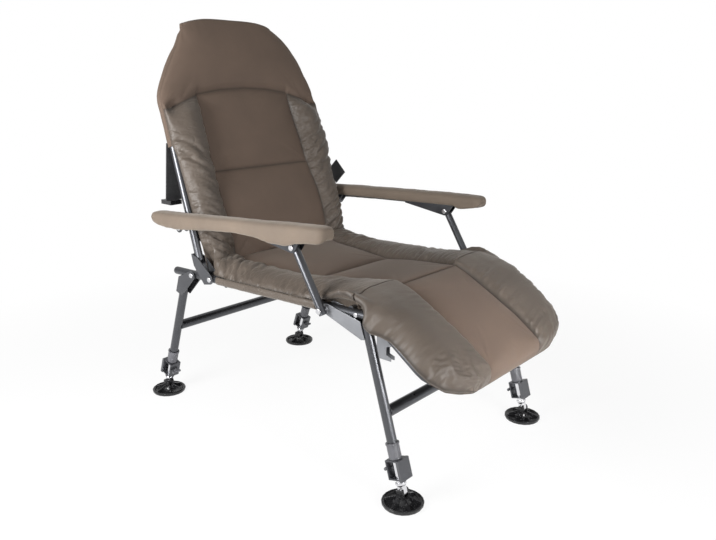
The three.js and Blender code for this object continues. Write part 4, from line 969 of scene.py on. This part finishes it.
def make_back_piece():
    flat, (mid_row, head_row, top_row) = back_rows()
    rows = len(flat)
    grid = pressed(flat, flat, back_swell)
    world = back_to_scene(grid)
    pins = pins_for(rows, [mid_row, head_row])
    pins[head_row, EDGE_COLS[0]: EDGE_COLS[1] + 1] = 1
    pins[head_row + 1:, SEAM_COLS] = 0
    pins[top_row:] = 1
    loose, cap = by_column(rows, 0.6, 0.1), by_column(rows, 7.0, 6.0)
    loose[head_row + 1:] = 0.1
    cap[head_row + 1:] = 5.0
    world = inflate("back_blow", world, pins, loose, cap)
    world = gathered(world, flat, back_gathers, MM)

    def rear_height(r, x, s, f):
        late = max(0.0, (r - top_row) / (rows - 1 - top_row))
        tube = 1 - smooth((hoop_distance(abs(x), s) - 11) / 12)
        return min(1.7 + 10.0 * tube, f - 1.0) * (1 - late) + min(0.0, f) * late

    crosses = [(mid_row, PANEL_COLS), (head_row, slice(EDGE_COLS[0], EDGE_COLS[1] + 1))]
    parts = [
        sewn_skin(world, back_to_scene(rear_of(grid, rear_height)), crosses, head_row),
        (sheet_body(back_to_scene(head_pocket()), HEAD_CLOTH * MM), 0),
        (topstitch(world, head_row, [(mid_row, 1), (head_row, -1)]), 2)]
    piece = make_piece("back_pad", parts, [panel_cloth, bolster_cloth, thread])
    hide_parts("back_cushion")
    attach(piece, "back")
    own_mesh(piece)
    return piece


seat_pad = make_seat_piece()
make_rest_piece()
make_back_piece()
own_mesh(seat_pad)

# ---- arm pads
ARM_TOP = {
    -1: [(-507, 57), (-472, 56.5), (-350, 51), (-196, 45.5), (-53, 40), (40, 38), (96, 36)],
    1: [(-507, 47), (-467, 48.5), (-263, 48.5), (13, 46), (96, 43)],
}
ARM_LOW = {
    -1: [(-507, 21), (-461, 19), (-428, 15), (-402, 7.5), (-345, 7), (-300, 14), (-225, 15.5), (-130, 10),
         (-45, 2), (-10, -0.5), (22, 0), (60, 4), (96, 12)],
    1: [(-507, 16), (-454, 8), (-400, 6.5), (-330, 11), (-225, 13), (-130, 9), (0, 5), (96, 14)],
}
ARM_ROOF = 17.9
ARM_RING = 60
ARM_MIDDLE = 284
ARM_REAR, ARM_LENGTH = 96, 603
ARM_FRONT_ROUND, ARM_REAR_ROUND = 20.0, 27.0
ARM_ENDS = [0.03, 0.12, 0.27, 0.46, 0.72, 1.0]


def arm_section(sign, y):
    """Outline across an armrest: u runs outwards from the channel's middle, which the outer flank covers."""
    top, low = reading(ARM_TOP[sign], y), reading(ARM_LOW[sign], y)
    over = smooth((y + 440) / 14) * smooth((42 - y) / 14)
    inner = ARM_ROOF * over + max(low + 3, 8.5) * (1 - over)
    flank = min(low + 5, inner - 0.4)
    return spline([
        (-4, inner), (-12, inner), (-15.6, inner + 5), (-16.2, (inner + top) / 2 + 2), (-13.5, top - 7),
        (-5, top - 1.6), (9, top), (23, top - 1.2), (31, top - 6), (34.4, top - 15), (34.8, (top + low) / 2),
        (34, low + 9), (31.5, low + 2.4), (26, low), (20, low + 1.0), (16, flank), (15.2, inner), (9, inner)],
        ARM_RING)


def arm_grid(sign):
    rows = []
    places = [share * ARM_REAR_ROUND for share in ARM_ENDS]
    places += list(np.linspace(ARM_REAR_ROUND + 7, ARM_LENGTH - ARM_FRONT_ROUND - 7, 96))
    places += [ARM_LENGTH - share * ARM_FRONT_ROUND for share in reversed(ARM_ENDS)]
    for d in places:
        near, radius = (d, ARM_REAR_ROUND) if d < ARM_LENGTH / 2 else (ARM_LENGTH - d, ARM_FRONT_ROUND)
        size = math.sqrt(max(0.0, 1 - (1 - min(near / radius, 1)) ** 2))
        y = ARM_REAR - d
        section = arm_section(sign, y)
        hub = np.array([9.0, section[:, 1].mean() + 2])
        row = []
        for u, z in section:
            wave = 1.3 * bend_noise(d * 0.8, u, z + 7 * sign, 70) + 0.5 * bend_noise(d, u, z, 18)
            lower = smooth((30 - z) / 22) if u > 18 else 0.0
            wave += 1.5 * lower * bend_noise(d * 1.2, 3.0, 2.0 * sign, 22, 2)
            if z < ARM_ROOF + 1.5 and u < 17:
                wave = 0
            out = np.array([u, z]) - hub
            out *= 1 + wave / max(np.linalg.norm(out), 1e-6)
            u2, z2 = hub + out * (0.34 + 0.66 * size)
            row.append((sign * (ARM_MIDDLE + u2), y, z2))
        rows.append(row)
    return np.array(rows, float)


def make_arm(side, sign):
    grid = arm_grid(sign)
    world = to_scene(grid, ARM)
    rows, ring = world.shape[:2]
    points, faces = world.reshape(-1, 3).tolist(), quads(rows, ring, True)
    for r in (0, rows - 1):
        hub = len(points)
        points.append(world[r].mean(axis=0).tolist())
        faces += [(r * ring + c, r * ring + (c + 1) % ring, hub) for c in range(ring)]
    # painted shadow: a darker line along the arm cover's underside seam
    seam = np.zeros((rows, ring))
    seam[:, int(np.argmin(grid[rows // 2, :, 2]))] = 0.8
    piece = make_piece(f"arm_cover_{side}", [((points, faces), 0, np.append(seam, [0, 0]))], [arm_cloth])
    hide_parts(f"arm_pad_{side}")
    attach(piece, f"arm_{side}")


make_arm("left", 1)
make_arm("right", -1)

# ---- slings
SLING_CLOTH = 1.4
HEM_INSET = 8
HEM_THREAD = 0.4


def sling(name, matrix, half_wide, start, end, upright, replaced, body, sag, seed):
    """A stretched sheet with stitched hems, flat in its frame or, for the back, upright."""
    def at(x, y, dip):
        return (x, -dip, y) if upright else (x, y, dip)

    grid = []
    for y in np.linspace(start, end, 40):
        row = []
        for x in np.linspace(-half_wide, half_wide, 60):
            u, v = abs(x) / half_wide, (y - start) / (end - start)
            drop = -sag * (1 - u * u) * math.sin(math.pi * v) ** 0.5
            row.append(at(x, y, drop + bend_noise(x * 0.35, y, seed, 20) * u ** 4))
        grid.append(row)
    parts = [(sheet_body(to_scene(grid, matrix), SLING_CLOTH * MM), 0)]
    up = np.array((matrix.to_3x3() @ Vector(at(0, 0, 1 if upright else -1))).normalized())
    for edge_at in (start + HEM_INSET, end - HEM_INSET):
        line = to_scene([at(x, edge_at, 0) for x in np.linspace(-half_wide, half_wide, 50)], matrix)
        lifted = line + up * ((1.2 if upright else 1.6) * MM)
        parts.append((stitches(lifted, np.tile(up, (len(line), 1)), HEM_THREAD * MM), 1))
    piece = make_piece(name, parts, [black_canvas, webbing])
    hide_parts(replaced)
    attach(piece, body)


sling("seat_canvas", SEAT, 243.0, -256.0, 166.0, False, "seat_sling", "seat",
      sag=3.0, seed=3.0)
sling("back_canvas", BACK, 243.0, 98.0, 326.0, True, "back_sling", "back",
      sag=0.0, seed=7.0)
REST_CANVAS = REST @ Matrix.Rotation(math.radians(REST_FALL), 4, "X")
sling("leg_rest_canvas", REST_CANVAS, 226.0, -172.0, -76.0, False, "leg_rest_sling", "leg_rest",
      sag=2.0, seed=11.0)

# ---- floor, light and camera
FLOOR_COLOR = (0.93, 0.93, 0.93)
WHITE = (1, 1, 1)
WORLD_STRENGTH = 0.26
WORLD_GLOSS = 0.45
FOCAL_PIXELS, FRAME_PIXELS, SENSOR = 699.0, 716.0, 36
CAMERA_YAW, CAMERA_PITCH, CAMERA_ROLL = -49.15, 15.33, -0.32
CAMERA_PLACE = (-1.2813, -1.1413, 0.8514)


def make_stage():
    bpy.ops.mesh.primitive_plane_add(size=24, location=(0, 0, -0.0005))
    floor = assign(bpy.context.object, name="floor")
    mat, tree = new_material("floor", FLOOR_COLOR, 0.9)
    fill(tree, {"Specular IOR Level": 0.1})
    path = node(tree, "LightPath", {}).node.outputs
    distance = node(tree, "VectorMath", {0: object_coords(tree)}, "Value", operation="LENGTH")
    seen = math_of(tree, "MAXIMUM", path["Is Camera Ray"], path["Is Glossy Ray"])
    share = math_of(tree, "MULTIPLY", remap(tree, distance, 0.9, 1, 0.7, 1.6), seen)
    glow = node(tree, "Emission", {})
    mix = node(tree, "MixShader", {0: share, 1: tree.nodes["Principled BSDF"].outputs[0], 2: glow})
    wire(tree, mix, tree.nodes["Material Output"].inputs["Surface"])
    floor.data.materials.append(mat)


def make_world():
    world = bpy.data.worlds.new("studio")
    scene.world = world
    world.use_nodes = True
    tree = world.node_tree
    tree.nodes.clear()
    path = node(tree, "LightPath", {}).node.outputs
    seen = math_of(tree, "MAXIMUM", path["Is Camera Ray"],
                   math_of(tree, "MULTIPLY", path["Is Glossy Ray"], WORLD_GLOSS))
    seen = math_of(tree, "MAXIMUM", seen, path["Is Transmission Ray"])
    lit, shown = (node(tree, "Background", {"Color": WHITE, "Strength": s}) for s in (WORLD_STRENGTH, 1.0))
    mix = node(tree, "MixShader", {0: seen, 1: lit, 2: shown})
    wire(tree, mix, tree.nodes.new("ShaderNodeOutputWorld").inputs["Surface"])


def lamp(name, place, target, size, power, spread=180):
    data = assign(bpy.data.lights.new(name, "AREA"), shape="RECTANGLE", size=size[0], size_y=size[1],
                  energy=power, spread=math.radians(spread))
    turn = (Vector(target) - Vector(place)).to_track_quat("-Z", "Y").to_euler()
    assign(linked(name, data), location=place, visible_camera=False, rotation_euler=turn)


def make_camera():
    data = assign(bpy.data.cameras.new("camera"), sensor_width=SENSOR,
                  lens=FOCAL_PIXELS / FRAME_PIXELS * SENSOR, clip_start=0.05, clip_end=60)
    yaw, pitch, roll = (math.radians(angle) for angle in (CAMERA_YAW, CAMERA_PITCH, CAMERA_ROLL))
    back = Vector((math.sin(yaw) * math.cos(pitch), -math.cos(yaw) * math.cos(pitch), math.sin(pitch)))
    turn = (-back).to_track_quat("-Z", "Y") @ Matrix.Rotation(-roll, 4, "Z").to_quaternion()
    scene.camera = assign(linked("camera", data), rotation_mode="QUATERNION", rotation_quaternion=turn,
                          location=CAMERA_PLACE)


make_stage()
make_world()
lamp("side", (-1.3, 0.15, 0.8), (0, 0.0, 0.5), (0.6, 0.6), 25)
lamp("front", (-0.3, -1.75, 0.55), (0, -0.3, 0.4), (1.1, 0.6), 19)
lamp("leg", (-0.3, -1.7, 0.6), (0, -0.55, 0.25), (0.3, 0.3), 0.75, 30)
lamp("top", (0.3, 0.3, 2.8), (0, 0.0, 0.4), (1.8, 1.8), 3)
make_camera()
scene.view_settings.view_transform = "Standard"
